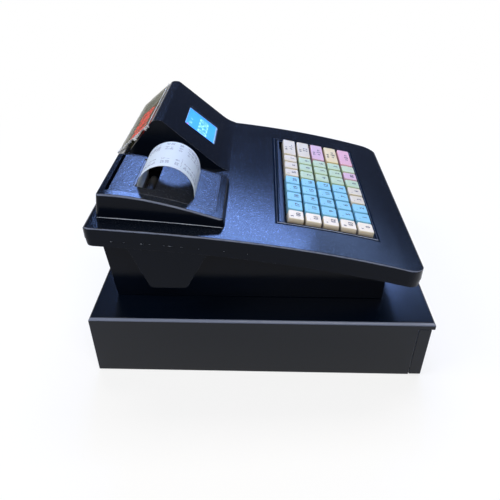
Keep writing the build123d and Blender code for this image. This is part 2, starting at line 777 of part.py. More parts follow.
def paper_lid():
    plate = band(cover_z, -lid_thickness, 0, lid_near, lid_far, lid_front, lid_rear)
    mouth = block(paper_near - mouth_margin, paper_near + paper_width + mouth_margin, mouth_front,
                  mouth_rear, drawer_height, drawer_height + display_height)
    y, z = hinge_point()
    barrel_near = lid_near + lid_ledge + ear_thickness + free
    barrel_far = lid_far - lid_ledge - ear_thickness - free
    arm_width = 8.0
    plate -= mouth
    for x in (barrel_near, barrel_far - arm_width):
        plate += rod_x(x, x + arm_width, y, z, hinge_radius + 1)
        plate += block(x, x + arm_width, y - hinge_radius - 1, y + 0.6, z, cover_z(y) - 0.5)
    pins = rod_x(lid_near + 0.6, barrel_near + 1, y, z, hinge_radius)
    pins += rod_x(barrel_far - 1, lid_far - 0.6, y, z, hinge_radius)
    return plate + pins


def tear_bar():
    """Toothed strip along the rear edge of the mouth."""
    teeth = 18
    x0, x1 = paper_near - mouth_margin + 0.2, paper_near + paper_width + mouth_margin - 0.2
    pitch = (x1 - x0) / teeth
    back, root, tip = mouth_rear, mouth_rear - 1.2, mouth_rear - 2.2
    points = [(x1, back), (x0, back)]
    for tooth in range(teeth):
        points += [(x0 + tooth * pitch, root), (x0 + (tooth + 0.5) * pitch, tip)]
    points.append((x1, root))
    top = cover_z(mouth_rear) - 1.0
    return Pos(0, 0, top - 0.6) * extrude(make_face(Polyline(*points, close=True).edges()), amount=0.6,
                                          dir=(0, 0, 1))


# === paper ==============================================================================
strip_front = 65.5           # where the curled end stands on the lid
strip_top = 155.0            # top of the arch, above the drawer
strip_tail = 8.0             # how far the strip reaches down below the lid's top
strip_seat = 0.45            # end of the strip to the lid


def paper_strip():
    """Torn receipt: up through the mouth, over in a half circle and down onto the lid."""
    radius = (paper_y - strip_front) / 2
    middle, spring = paper_y - radius, drawer_height + strip_top - radius
    low_rear, low_front = cover_z(paper_y) - strip_tail, cover_z(strip_front) + strip_seat
    edges = []
    for reach in (radius - paper_thickness / 2, radius + paper_thickness / 2):
        front, rear = middle - reach, middle + reach
        edges.append(Line((rear, low_rear), (rear, spring)))
        edges.append(ThreePointArc((rear, spring), (middle, spring + reach), (front, spring)))
        edges.append(Line((front, spring), (front, low_front)))
    edges.append(Line(edges[0] @ 0, edges[3] @ 0))
    edges.append(Line(edges[2] @ 1, edges[5] @ 1))
    return side_solid(edges, paper_near, paper_near + paper_width)


roll_z = drawer_height + bucket_height - bucket_radius + roll_radius + free
foot_of_bucket = drawer_height + bucket_height - bucket_radius - bucket_wall


def paper_roll():
    x0, x1 = paper_near, paper_near + paper_width
    roll = rod_x(x0, x1, bucket_y, roll_z, roll_radius)
    return roll - rod_x(x0 - 1, x1 + 1, bucket_y, roll_z, roll_core)


# === print mechanism ====================================================================
platen_y = paper_y - paper_thickness / 2 - platen_radius - 0.15
platen_z = drawer_height + platen_height
gear_centres = gear_module * (platen_teeth + motor_teeth) / 2
motor_y = platen_y - gear_centres * sin(radians(45))
motor_z = platen_z - gear_centres * cos(radians(45))
bucket_z = drawer_height + bucket_height
cheek_near = paper_near - 0.5 - cheek
cheek_far = paper_near + paper_width + 0.5
gear_x = cheek_near - 1.0 - gear_width
motor_face = gear_x - 1.3


def printer_chassis():
    """Bucket for the roll between two cheeks, which also carry the platen, head and motor."""
    x0, x1 = cheek_near, cheek_far + cheek
    outer_radius = bucket_radius + bucket_wall
    bucket = rod_x(x0, x1, bucket_y, bucket_z, outer_radius)
    front_lip, rear_lip = bucket_lips
    above = bucket_z + outer_radius + 1
    bucket += block(x0, x1, bucket_y - outer_radius, bucket_y, bucket_z, bucket_z + front_lip)
    bucket += block(x0, x1, bucket_y, bucket_y + outer_radius, bucket_z, bucket_z + rear_lip)
    bucket -= block(x0, x1, bucket_y - outer_radius, bucket_y, bucket_z + front_lip, above)
    bucket -= block(x0, x1, bucket_y, bucket_y + outer_radius, bucket_z + rear_lip, above)
    hollow = rod_x(x0 + cheek, x1 - cheek, bucket_y, bucket_z, bucket_radius)
    hollow += block(x0 + cheek, x1 - cheek, bucket_y - bucket_radius, bucket_y + bucket_radius,
                    bucket_z, above)
    chassis = bucket - hollow
    cheek_outline = [(bucket_y + 8, bucket_z), (bucket_y + outer_radius, bucket_z),
                     (bucket_y + 54, bucket_z + 12), (bucket_y + 54, platen_z + 10),
                     (bucket_y + 30, platen_z + 10), (bucket_y + 8, platen_z + 3)]
    for x in (x0, cheek_far):
        chassis += side_polygon(cheek_outline, x, x + cheek)
    chassis += block(x0, x1, bucket_y + 52, bucket_y + 54, bucket_z + 14, bucket_z + 22)
    chassis -= rod_x(x0 - 1, x1 + 1, platen_y, platen_z, platen_shaft + running)
    for angle in motor_ears:
        y = motor_y + (motor_radius + 2.2) * cos(radians(angle))
        z = motor_z + (motor_radius + 2.2) * sin(radians(angle))
        chassis += rod_x(motor_face, x0, y, z, 1.8)
    for x in (paper_near + 5, paper_near + paper_width - 5):
        for y in (bucket_y - 12, bucket_y + 12):
            foot = rod_z(foot_of_bucket, bucket_z, x, y, post_radius)
            chassis += foot - rod_x(x0, x1, bucket_y, bucket_z, bucket_radius + 0.5)
    return chassis


def platen_roller():
    x0, x1 = cheek_near + cheek + 0.4, cheek_far - 0.4
    roller = rod_x(x0, x1, platen_y, platen_z, platen_radius)
    roller += rod_x(gear_x - 0.4, cheek_far + cheek + 0.6, platen_y, platen_z, platen_shaft)
    wheel = Pos(gear_x, platen_y, platen_z) * gear(platen_teeth, gear_width, radians(225))
    return roller + wheel


def motor_gear():
    phase = radians(45) + pi / motor_teeth
    pinion = Pos(gear_x, motor_y, motor_z) * gear(motor_teeth, gear_width, phase)
    return pinion + rod_x(motor_face - 3, gear_x + gear_width + 0.4, motor_y, motor_z, 1.0)


def stepper_motor():
    plate = rod_x(motor_face - cheek, motor_face, motor_y, motor_z, motor_radius)
    for angle in motor_ears:
        y = motor_y + (motor_radius + 2.2) * cos(radians(angle))
        z = motor_z + (motor_radius + 2.2) * sin(radians(angle))
        plate += rod_x(motor_face - cheek, motor_face, y, z, 3.2)
    can = rod_x(motor_face - cheek - motor_length, motor_face - cheek, motor_y, motor_z,
                motor_radius - 0.5)
    return plate + can - rod_x(motor_face - 4, motor_face + 1, motor_y, motor_z, 1.0 + running)


def print_head():
    x0, x1 = cheek_near + cheek, cheek_far
    y0 = paper_y + paper_thickness / 2 + 0.15
    z0 = platen_z - head_height / 2
    head = block(x0, x1, y0, y0 + head_depth, z0, z0 + head_height)
    for fin in range(4):
        z = z0 + fin * (head_height - 1.6) / 3
        head += block(x0, x1, y0 + head_depth, y0 + head_depth + sink_depth, z, z + 1.6)
    return head


# === display ============================================================================
ridge_z = drawer_height + display_height
front_foot_z = deck_z(display_front)
front_angle = atan2(ridge_z - front_foot_z, display_ridge[0] - display_front)
front_slope = Plane(origin=(0, display_front, front_foot_z), x_dir=(1, 0, 0),
                    z_dir=(0, -sin(front_angle), cos(front_angle)))
back_foot_z = drawer_height + display_foot


def display_outline(inset):
    """Side view of the wedge, with every wall taken in by the same amount."""
    slope_shift = inset / sin(front_angle)
    drop = inset
    back_angle = atan2(ridge_z - back_foot_z, display_back - display_ridge[1])
    back_shift = inset / sin(back_angle)
    low = deck_z(0)
    front_low = display_front + slope_shift - (front_foot_z - low) / tan(front_angle)
    front_top = display_ridge[0] + slope_shift - drop / tan(front_angle)
    back_top = display_ridge[1] - back_shift + drop / tan(back_angle)
    return [(front_low, low), (front_top, ridge_z - drop), (back_top, ridge_z - drop),
            (display_back - inset, back_foot_z - drop * 0.3), (display_back - inset, low)]


def left_of_housing(inset):
    """Everything to the left of the housing's leaning near wall."""
    z0, z1 = front_foot_z, ridge_z
    lean = display_splay / (z1 - z0)
    spare = 2 * display_splay
    top, foot = display_near + inset + lean * spare, display_near + inset - display_splay - lean * spare
    face = make_face(Polyline((top, z1 + spare), (foot, z0 - spare), (cover_near, z0 - spare),
                              (cover_near, z1 + spare), close=True).edges())
    return Pos(0, half, 0) * extrude(Plane.XZ * face, amount=2 * half, dir=(0, -1, 0))


def slope_toe():
    """Hollow moulding that runs the front slope into the deck."""
    reach = slope_blend * sin(front_angle) / 2 + ridge_round
    dip = blend_root / tan(front_angle)
    low = deck_z(display_front - 2 * reach) - shell
    toe = [(display_front - reach, low), (display_front - reach, deck_z(display_front - reach) - blend_root),
           (display_front - dip, front_foot_z - blend_root),
           (display_front + reach, front_foot_z + reach * tan(front_angle)),
           (display_front + reach, low)]
    outline = make_face(Polyline(*toe, close=True).edges())
    corner = outline.vertices().sort_by(lambda vertex: abs(vertex.X - toe[2][0]))[0]
    outline = Plane.YZ * fillet(corner, slope_blend)
    return Pos(display_near - display_splay, 0, 0) * extrude(
        outline, amount=half - display_near + display_splay, dir=(1, 0, 0))


def above_deck(solid):
    return solid - band(deck_z, -200, seat, -half, half, deck_front, deck_rear)


def display_housing():
    foot_near = display_near - 2 * display_splay
    outer = side_polygon(display_outline(0), foot_near, half)
    ridge_edges = outer.edges().filter_by(Axis.X).group_by(Axis.Z)[-1]
    outer = fillet(ridge_edges, ridge_round) + slope_toe() - left_of_housing(0)
    inner = side_polygon(display_outline(shell), foot_near, half - shell) - left_of_housing(shell)
    opening = front_slope * block(lcd_near, lcd_far, lcd_low, lcd_high, -shell - 2, 2)
    return above_deck(outer - inner - opening)


def operator_window():
    return front_slope * block(lcd_near, lcd_far, lcd_low, lcd_high,
                               -window_recess - window_thickness, -window_recess)


def operator_display():
    """Liquid crystal module: glass with a metal frame, pressed up behind the window."""
    return front_slope * block(lcd_near - 4, lcd_far + 4, lcd_low - 4, lcd_high + 4,
                               -shell - 5, -shell)


def customer_outline(inset):
    foot_y, foot_rise = customer_foot
    foot_z = drawer_height + foot_rise
    angle = atan2(ridge_z - foot_z, foot_y - display_ridge[1])
    shift = inset / sin(angle)
    top_y = display_ridge[1] + 1.2 - shift
    low = deck_z(display_back) - 5
    return [(top_y, ridge_z - 1.6), (foot_y - shift, foot_z), (foot_y - shift, low),
            (display_back - 30, low), (display_back - 35, ridge_z - 1.6)]


def customer_window():
    """Clear wedge-shaped cover over the rear of the display housing."""
    foot_near = display_near - 2 * display_splay
    outer = side_polygon(customer_outline(0), foot_near, half) - left_of_housing(0)
    inner = side_polygon(customer_outline(customer_sheet), foot_near, half - customer_sheet)
    inner -= left_of_housing(customer_sheet)
    housing = side_polygon(display_outline(-free), foot_near, half + 1)
    return above_deck(outer - inner - housing)


def customer_display():
    """Digit module on its board, seated against the housing's rear wall."""
    back_angle = atan2(ridge_z - back_foot_z, display_back - display_ridge[1])
    plane = Plane(origin=(digits_middle, display_back, back_foot_z), x_dir=(-1, 0, 0),
                  z_dir=(0, sin(back_angle), cos(back_angle)))
    return plane * block(-digits_width / 2, digits_width / 2, digits_low, digits_high, 0,
                         digits_thickness)


# === write every node ===================================================================
nodes = {
    "drawer_case": drawer_case,
    "case_base": case_base,
    "rubber_feet": rubber_feet,
    "drawer_rails": drawer_rails,
    "case_rollers": lambda: rollers(case_roller_y, case_roller_z, roller_radius),
    "box_rollers": lambda: rollers(box_roller_y, rail_centre, box_roller_radius),
    "drawer_box": drawer_box,
    "drawer_front": drawer_front,
    "drawer_lock": drawer_lock,
    "till_tray": till_tray,
    "drawer_latch": drawer_latch,
    "latch_solenoid": latch_solenoid,
    "lower_housing": lower_housing,
    "upper_housing": upper_housing,
    "keyboard_frame": keyboard_frame,
    "circuit_boards": circuit_boards,
    "power_socket": power_socket,
    "printer_cover": printer_cover,
    "paper_lid": paper_lid,
    "tear_bar": tear_bar,
    "paper_strip": paper_strip,
    "paper_roll": paper_roll,
    "printer_chassis": printer_chassis,
    "platen_roller": platen_roller,
    "motor_gear": motor_gear,
    "stepper_motor": stepper_motor,
    "print_head": print_head,
    "display_housing": display_housing,
    "operator_window": operator_window,
    "operator_display": operator_display,
    "customer_window": customer_window,
    "customer_display": customer_display,
}

os.makedirs("parts", exist_ok=True)
for node, make in nodes.items():
    export_step(make(), f"parts/{node}.step")
for slot in range(bill_slots):
    export_step(bill_clip(slot), f"parts/bill_clip_{slot + 1}.step")
for node, places in key_nodes.items():
    export_step(key_group(places), f"parts/{node}.step")
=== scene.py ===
import json
from math import cos, pi, radians, sin

import bmesh
import bpy
import numpy as np
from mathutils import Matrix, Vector

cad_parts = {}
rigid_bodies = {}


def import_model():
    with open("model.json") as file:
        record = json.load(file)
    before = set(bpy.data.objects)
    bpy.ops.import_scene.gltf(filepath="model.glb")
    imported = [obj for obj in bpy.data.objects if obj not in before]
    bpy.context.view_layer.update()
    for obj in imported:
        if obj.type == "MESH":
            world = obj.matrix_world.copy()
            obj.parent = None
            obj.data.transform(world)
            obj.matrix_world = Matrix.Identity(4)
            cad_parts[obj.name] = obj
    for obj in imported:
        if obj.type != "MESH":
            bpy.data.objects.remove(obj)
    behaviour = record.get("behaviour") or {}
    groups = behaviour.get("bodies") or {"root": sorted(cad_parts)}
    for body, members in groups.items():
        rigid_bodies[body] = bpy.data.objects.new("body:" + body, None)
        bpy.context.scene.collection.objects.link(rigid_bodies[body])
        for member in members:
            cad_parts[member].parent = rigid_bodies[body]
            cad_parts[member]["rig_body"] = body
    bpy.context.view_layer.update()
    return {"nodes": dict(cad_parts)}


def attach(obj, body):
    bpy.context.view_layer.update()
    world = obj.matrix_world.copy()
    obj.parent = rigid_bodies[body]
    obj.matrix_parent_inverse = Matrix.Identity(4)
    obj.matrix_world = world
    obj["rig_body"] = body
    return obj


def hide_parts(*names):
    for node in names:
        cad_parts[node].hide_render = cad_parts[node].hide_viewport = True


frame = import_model()
nodes = frame["nodes"]
bodyOf = {name: node["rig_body"] for name, node in nodes.items()}
print("frame loaded:", len(nodes), "nodes")

view = {
    "place": (-0.5419, 0.0009, 0.4385),
    "yaw": 1.33,            # degrees from +X towards +Y
    "pitch": 34.68,         # degrees below level
    "lens": 36.6,
    "sensor": 36.0,
    "nearest": 0.01,        # metres from which things are seen
}


def addObject(name, data):
    item = bpy.data.objects.new(name, data)
    bpy.context.scene.collection.objects.link(item)
    return item


def makeCamera():
    data = bpy.data.cameras.new("camera")
    data.lens = view["lens"]
    data.sensor_width = view["sensor"]
    data.clip_start = view["nearest"]
    camera = addObject("camera", data)
    yaw, pitch = radians(view["yaw"]), radians(view["pitch"])
    forward = Vector((cos(pitch) * cos(yaw), cos(pitch) * sin(yaw), -sin(pitch)))
    camera.location = view["place"]
    camera.rotation_euler = forward.to_track_quat("-Z", "Y").to_euler()
    bpy.context.scene.camera = camera


makeCamera()


# a shader node; a value's name is a property or, failing that, an input socket
def addNode(tree, kind, **values):
    node = tree.nodes.new("ShaderNode" + kind)
    for label, value in values.items():
        if hasattr(node, label):
            setattr(node, label, value)
        else:
            node.inputs[label].default_value = value
    return node


def wire(tree, *pairs):
    for source, target in pairs:
        tree.links.new(source, target)


# each of the two values is a number or another node's output
def addMath(tree, operation, first, second, clamp=False):
    node = addNode(tree, "Math", operation=operation, use_clamp=clamp)
    for socket, value in zip(node.inputs, (first, second)):
        if isinstance(value, (int, float)):
            socket.default_value = value
        else:
            tree.links.new(value, socket)
    return node.outputs[0]


# rises from 0 to 1 while the source goes from low to high
def addRamp(tree, source, low, high):
    node = addNode(tree, "MapRange", **{"From Min": low, "From Max": high})
    tree.links.new(source, node.inputs["Value"])
    return node.outputs[0]


def mixColours(tree, amount, first, second):
    node = addNode(tree, "Mix", data_type="RGBA")
    wire(tree, (amount, node.inputs["Factor"]), (first, node.inputs["A"]), (second, node.inputs["B"]))
    return node.outputs["Result"]


studio = {
    "roomColours": ((0.9, 0.93, 1.0), (0.085, 0.105, 0.18), (0.1, 0.12, 0.16)),  # horizon, low wall, ceiling
    "roomLevels": (0.01, 0.07, 0.8),   # upward part of the direction where each of those colours holds
    "floorShare": 0.24,     # part of the floor's white that is lit by the lamps and takes the shadow
    "floorFade": (0.35, 0.9),  # distances in metres over which the floor turns to plain white
    "floorBounce": 0.7,
    "floorHalf": 6.0,
    "aim": (0.0, 0.0, 0.15),   # where the lamps point
    "lamps": {
        # name: distance, degrees up, degrees from +X towards +Y, width, height, colour, power
        "farWindow": (3.0, 34.4, -1.5, 1.75, 0.34, (0.24, 0.41, 1.0), 64.0),
        "frontWindow": (3.0, 28.0, -34.0, 1.3, 0.6, (0.32, 0.5, 1.0), 14.0),
        "ceiling": (2.0, 68.0, 0.0, 1.8, 0.6, (1.0, 0.96, 0.9), 20.0),
        "nearFill": (2.2, 42.0, 200.0, 1.4, 1.0, (1.0, 0.94, 0.82), 21.0),
        "rearFill": (2.4, 45.0, 108.0, 1.2, 1.0, (0.95, 0.97, 1.0), 20.0),
    },
}


# dim room: pale at the horizon, bluish and dark above it
def makeWorld():
    world = bpy.data.worlds.new("room")
    bpy.context.scene.world = world
    world.use_nodes = True
    tree = world.node_tree
    coords, height, ramp = addNode(tree, "TexCoord"), addNode(tree, "SeparateXYZ"), addNode(tree, "ValToRGB")
    ramp.color_ramp.elements.new(0.5)
    for element, place, colour in zip(ramp.color_ramp.elements, studio["roomLevels"], studio["roomColours"]):
        element.position = place
        element.color = (*colour, 1)
    wire(tree, (coords.outputs["Generated"], height.inputs[0]), (height.outputs["Z"], ramp.inputs["Fac"]),
         (ramp.outputs["Color"], tree.nodes["Background"].inputs["Color"]))


# white floor: part of its white is its own, and the rest comes from the lamps
def makeFloor():
    half = studio["floorHalf"]
    mesh = bpy.data.meshes.new("floor")
    mesh.from_pydata([(-half, -half, 0), (half, -half, 0), (half, half, 0), (-half, half, 0)],
                     [], [(0, 1, 2, 3)])
    floor = addObject("floor", mesh)
    material = bpy.data.materials.new("floorWhite")
    material.use_nodes = True
    tree = material.node_tree
    tree.nodes.remove(tree.nodes["Principled BSDF"])
    coords, length = addNode(tree, "TexCoord"), addNode(tree, "VectorMath", operation="LENGTH")
    near, far = studio["floorFade"]
    fade = addNode(tree, "MapRange", interpolation_type="SMOOTHSTEP", **{
        "From Min": near, "From Max": far, "To Min": studio["floorShare"], "To Max": 0.0})
    path = addNode(tree, "LightPath")
    seen = addMath(tree, "ADD", path.outputs["Is Camera Ray"], path.outputs["Is Glossy Ray"], True)
    seen = addMath(tree, "ADD", seen, path.outputs["Is Transmission Ray"], True)
    lit, glow = addNode(tree, "BsdfDiffuse"), addNode(tree, "Emission")
    bounce = addNode(tree, "BsdfDiffuse", Color=(*[studio["floorBounce"]] * 3, 1))
    total, mix = addNode(tree, "AddShader"), addNode(tree, "MixShader")
    own = addMath(tree, "SUBTRACT", 1.0, fade.outputs[0], True)
    wire(tree, (coords.outputs["Object"], length.inputs[0]), (length.outputs["Value"], fade.inputs["Value"]),
         (fade.outputs[0], lit.inputs["Color"]), (own, glow.inputs["Strength"]),
         (lit.outputs[0], total.inputs[0]), (glow.outputs[0], total.inputs[1]), (seen, mix.inputs["Fac"]),
         (bounce.outputs[0], mix.inputs[1]), (total.outputs[0], mix.inputs[2]),
         (mix.outputs[0], tree.nodes["Material Output"].inputs["Surface"]))
    mesh.materials.append(material)


def makeLamps():
    aim = Vector(studio["aim"])
    for name, (distance, up, turn, width, height, colour, power) in studio["lamps"].items():
        data = bpy.data.lights.new(name, "AREA")
        data.shape = "RECTANGLE"
        data.size, data.size_y = width, height
        data.color = colour
        data.energy = power
        lamp = addObject(name, data)
        up, turn = radians(up), radians(turn)
        lamp.location = aim + distance * Vector((cos(up) * cos(turn), cos(up) * sin(turn), sin(up)))
        lamp.rotation_euler = (aim - lamp.location).to_track_quat("-Z", "Y").to_euler()


bpy.context.scene.view_settings.view_transform = "Standard"
makeWorld()
makeFloor()
makeLamps()
print("stage set")


# inputs are given by their default values, outputs by their kinds
def newGroup(name, inputs, outputs):
    tree = bpy.data.node_groups.new(name, "ShaderNodeTree")
    for label, value in inputs.items():
        kind = "NodeSocketFloat" if isinstance(value, float) else "NodeSocketColor"
        tree.interface.new_socket(label, in_out="INPUT", socket_type=kind).default_value = value
    for label, kind in outputs.items():
        tree.interface.new_socket(label, in_out="OUTPUT", socket_type="NodeSocket" + kind)
    return tree, tree.nodes.new("NodeGroupInput"), tree.nodes.new("NodeGroupOutput")


wearAndHighlight = {
    "fleckScale": 0.45,     # of the flecks' noise, as a share of the fine grain's
    "flecks": (0.64, 0.74),    # levels of that noise between which a fleck comes up
    "patchScale": 14.0,
    "speckScale": 900.0,
    "specks": (0.5, 0.72),
    "dusty": (0.55, 0.98),  # upward part of the normal between which dust settles
    "leaning": (0.3, 0.5),  # sideways part of the normal on a rolled edge, where the painted highlight goes
    "rising": (0.15, 0.45),    # and its upward part
}


# moulded grain: fine pebbles with wider, slightly deeper ones among them, and sparse flecks that glint
def makeGrainGroup():
    tree, given, out = newGroup("mouldGrain", {"Fine": 2200.0, "Coarse": 700.0, "Coarse Share": 0.35},
                                {"Height": "Float", "Fleck": "Float"})
    fine = addNode(tree, "TexNoise", Detail=1.0, Roughness=0.5)
    coarse = addNode(tree, "TexVoronoi", feature="SMOOTH_F1", Smoothness=0.6)
    sparse = addNode(tree, "TexNoise", Detail=0.0)
    place = addNode(tree, "TexCoord").outputs["Object"]
    sparseScale = addMath(tree, "MULTIPLY", given.outputs["Fine"], wearAndHighlight["fleckScale"])
    for node, scale in ((fine, given.outputs["Fine"]), (coarse, given.outputs["Coarse"]),
                        (sparse, sparseScale)):
        wire(tree, (place, node.inputs["Vector"]), (scale, node.inputs["Scale"]))
    share = addMath(tree, "MULTIPLY", coarse.outputs["Distance"], given.outputs["Coarse Share"])
    wire(tree, (addMath(tree, "ADD", fine.outputs[0], share), out.inputs["Height"]),
         (addRamp(tree, sparse.outputs[0], *wearAndHighlight["flecks"]), out.inputs["Fleck"]))
    return tree


# skin grease in broad cloudy patches, thin dust where a face looks up, and a painted highlight: a paler
# colour on rolled edges that run front to rear, where the normal leans both sideways and up
def makeHandlingAndHighlightGroup():
    # Edge sets how much of the painted highlight colour the rolled edges get
    tree, given, out = newGroup("handlingAndHighlight", {
        "Roughness": 0.35, "Smear": 0.08, "Dust": 0.0, "Edge": 0.0, "Colour": (0.5, 0.5, 0.5, 1),
        "Dust Colour": (0.35, 0.35, 0.36, 1), "Highlight Colour": (0.2, 0.23, 0.32, 1),
    }, {"Roughness": "Float", "Colour": "Color", "Upward": "Float"})
    coords, facing = addNode(tree, "TexCoord"), addNode(tree, "SeparateXYZ")
    patches = addNode(tree, "TexNoise", Scale=wearAndHighlight["patchScale"], Detail=4.0, Roughness=0.6)
    specks = addNode(tree, "TexNoise", Scale=wearAndHighlight["speckScale"], Detail=2.0)
    wire(tree, (coords.outputs["Object"], patches.inputs["Vector"]),
         (coords.outputs["Object"], specks.inputs["Vector"]), (coords.outputs["Normal"], facing.inputs[0]))
    offset = addMath(tree, "SUBTRACT", patches.outputs[0], 0.5)
    spread = addMath(tree, "MULTIPLY", addMath(tree, "MULTIPLY", offset, given.outputs["Smear"]), 2.0)
    upward = addRamp(tree, facing.outputs["Z"], *wearAndHighlight["dusty"])
    dust = addMath(tree, "MULTIPLY", upward, addRamp(tree, specks.outputs[0], *wearAndHighlight["specks"]))
    dust = addMath(tree, "MULTIPLY", dust, given.outputs["Dust"], True)
    dusted = mixColours(tree, dust, given.outputs["Colour"], given.outputs["Dust Colour"])
    # painted highlight on rolled edges: the paler colour is mixed in where the normal leans sideways and up
    sideways = addRamp(tree, addMath(tree, "ABSOLUTE", facing.outputs["X"], 0.0), *wearAndHighlight["leaning"])
    paintedRolledHighlight = addMath(tree, "MULTIPLY", sideways, addRamp(tree, facing.outputs["Z"], *wearAndHighlight["rising"]))
    paintedRolledHighlight = addMath(tree, "MULTIPLY", paintedRolledHighlight, given.outputs["Edge"], True)
    wire(tree, (addMath(tree, "ADD", given.outputs["Roughness"], spread, True), out.inputs["Roughness"]),
         (mixColours(tree, paintedRolledHighlight, dusted, given.outputs["Highlight Colour"]), out.inputs["Colour"]),
         (upward, out.inputs["Upward"]))
    return tree


grainGroup = makeGrainGroup()
handlingAndHighlightGroup = makeHandlingAndHighlightGroup()


def placeGroup(tree, group, values):
    node = tree.nodes.new("ShaderNodeGroup")
    node.node_tree = group
    for label, value in values.items():
        node.inputs[label].default_value = value
    return node


# a material whose constant values are set on the shader's own sockets
def newSurface(name, values):
    material = bpy.data.materials.new(name)
    material.use_nodes = True
    shader = material.node_tree.nodes["Principled BSDF"]
    for label, value in values.items():
        shader.inputs[label].default_value = value
    return material, material.node_tree, shader


# opaque surface with the group for grease, dust and the painted highlight on rolled edges and, where grain is
# given, a bump of the grain group
def makeFinish(name, colour, roughness=0.4, smear=0.05, dust=0.0, grain=None, depth=0.0, metallic=0.0,
               fleck=0.0, level=0.5, edge=0.0, glow=0.0):
    material, tree, shader = newSurface(name, {
        "Metallic": metallic, "Specular IOR Level": level, "Coat Roughness": 0.25,
        "Subsurface Weight": glow, "Subsurface Scale": 0.003, "Subsurface Radius": (1.0, 1.0, 1.0)})
    wornAndHighlighted = placeGroup(tree, handlingAndHighlightGroup, {"Roughness": roughness, "Smear": smear, "Dust": dust,
                                            "Colour": (*colour, 1), "Edge": edge})
    wire(tree, (wornAndHighlighted.outputs["Roughness"], shader.inputs["Roughness"]),
         (wornAndHighlighted.outputs["Colour"], shader.inputs["Base Color"]))
    if grain:
        pebbles = placeGroup(tree, grainGroup, grain)
        bump = addNode(tree, "Bump", Distance=depth)
        wire(tree, (pebbles.outputs["Height"], bump.inputs["Height"]),
             (bump.outputs[0], shader.inputs["Normal"]))
        if fleck:
            sparkle = addMath(tree, "MULTIPLY", pebbles.outputs["Fleck"], wornAndHighlighted.outputs["Upward"])
            sparkle = addMath(tree, "MULTIPLY", sparkle, fleck)
            tree.links.new(sparkle, shader.inputs["Coat Weight"])
    return material


# clear or smoked sheet: see-through by alpha, with a glossy coat and folds of wrinkle metres
def makeGlass(name, colour, alpha, roughness, wrinkle=0.0, coat=0.6, index=1.5):
    material, tree, shader = newSurface(name, {
        "Base Color": (*colour, 1), "Alpha": alpha, "Roughness": roughness, "Coat Weight": coat,
        "Coat Roughness": 0.05, "IOR": index})
    if wrinkle:
        folds = addNode(tree, "TexNoise", Scale=90.0, Detail=3.0, Distortion=1.2)
        bump = addNode(tree, "Bump", Distance=wrinkle)
        wire(tree, (addNode(tree, "TexCoord").outputs["Object"], folds.inputs["Vector"]),
             (folds.outputs[0], bump.inputs["Height"]), (bump.outputs[0], shader.inputs["Normal"]))
    return material


# lit face of a display: the colour is given off as well as reflected
def makeGlow(name, colour, strength):
    return newSurface(name, {"Base Color": (*colour, 1), "Emission Color": (*colour, 1),
                             "Emission Strength": strength, "Roughness": 0.35})[0]


finishes = {
    # level, fleck, edge and glow are shares: of plain reflection, of glinting flecks, of the painted
    # highlight colour on rolled edges and of light that goes in and comes out; depth is the grain's, in
    # metres
    "shell": dict(colour=(0.0026, 0.0045, 0.0095), roughness=0.12, smear=0.03, dust=0.03, level=0.1,
                  fleck=0.4, edge=0.8, grain={"Fine": 1500.0, "Coarse": 800.0, "Coarse Share": 0.9},
                  depth=0.000035),
    "lid": dict(colour=(0.005, 0.006, 0.0095), roughness=0.24, smear=0.04, dust=0.03, level=0.15,
                fleck=0.5, edge=0.4, grain={"Fine": 1300.0, "Coarse": 620.0, "Coarse Share": 1.0},
                depth=0.00008),
    "casePaint": dict(colour=(0.0012, 0.0035, 0.0095), roughness=0.2, smear=0.03, dust=0.01, level=0.28,
                      edge=1.0, grain={"Fine": 900.0, "Coarse": 260.0}, depth=0.00002),
    "well": dict(colour=(0.006, 0.007, 0.01), roughness=0.3, level=0.2),
    "zinc": dict(colour=(0.62, 0.62, 0.6), roughness=0.35, smear=0.12, metallic=1.0,
                 grain={"Fine": 1400.0, "Coarse": 300.0}, depth=0.00001),
    "tray": dict(colour=(0.055, 0.056, 0.06), roughness=0.45, dust=0.05,
                 grain={"Fine": 1500.0, "Coarse": 500.0}, depth=0.00003),
    "whiteRoller": dict(colour=(0.72, 0.71, 0.67)),
    "rubber": dict(colour=(0.018, 0.018, 0.018), roughness=0.75, dust=0.1, grain={"Fine": 2500.0},
                   depth=0.00003),
    # painted highlight: a paler, glossier colour put on the rounded bevel faces so that edges show as light
    # lines
    "paintedBevelHighlight": dict(colour=(0.09, 0.105, 0.15), roughness=0.25, level=0.6),
    # painted shade: a dark band that reflects nothing, laid round the key well where the frame's edge lies in
    # shade
    "rim": dict(colour=(0.005, 0.01, 0.022), roughness=0.8, level=0.0),
    # painted highlight: the bead is paler than the deck so that it shows as a light line round the key well
    "highlightBead": dict(colour=(0.05, 0.06, 0.085), roughness=0.35, level=0.3),
    # painted highlight: pale colour for the glint lines on the seam, at the cover's foot and on the left side
    # of the well's bead
    "paintedGlint": dict(colour=(0.5, 0.55, 0.66), roughness=0.5),
    "lockChrome": dict(colour=(0.7, 0.7, 0.72), roughness=0.16, metallic=1.0),
    "toothSteel": dict(colour=(0.2, 0.21, 0.23), roughness=0.45, metallic=1.0),
    "brass": dict(colour=(0.6, 0.45, 0.2), roughness=0.35, metallic=1.0),
    "board": dict(colour=(0.02, 0.13, 0.05)),
    "copper": dict(colour=(0.45, 0.18, 0.09), metallic=1.0),
    "receiptPaper": dict(colour=(0.74, 0.85, 0.9), roughness=0.55, smear=0.0, level=0.2, glow=0.5),
    "receiptInk": dict(colour=(0.27, 0.31, 0.38), roughness=0.7),
    "rollPaper": dict(colour=(0.86, 0.88, 0.9), roughness=0.8),
    "keyLegend": dict(colour=(0.02, 0.02, 0.035), roughness=0.5),
}
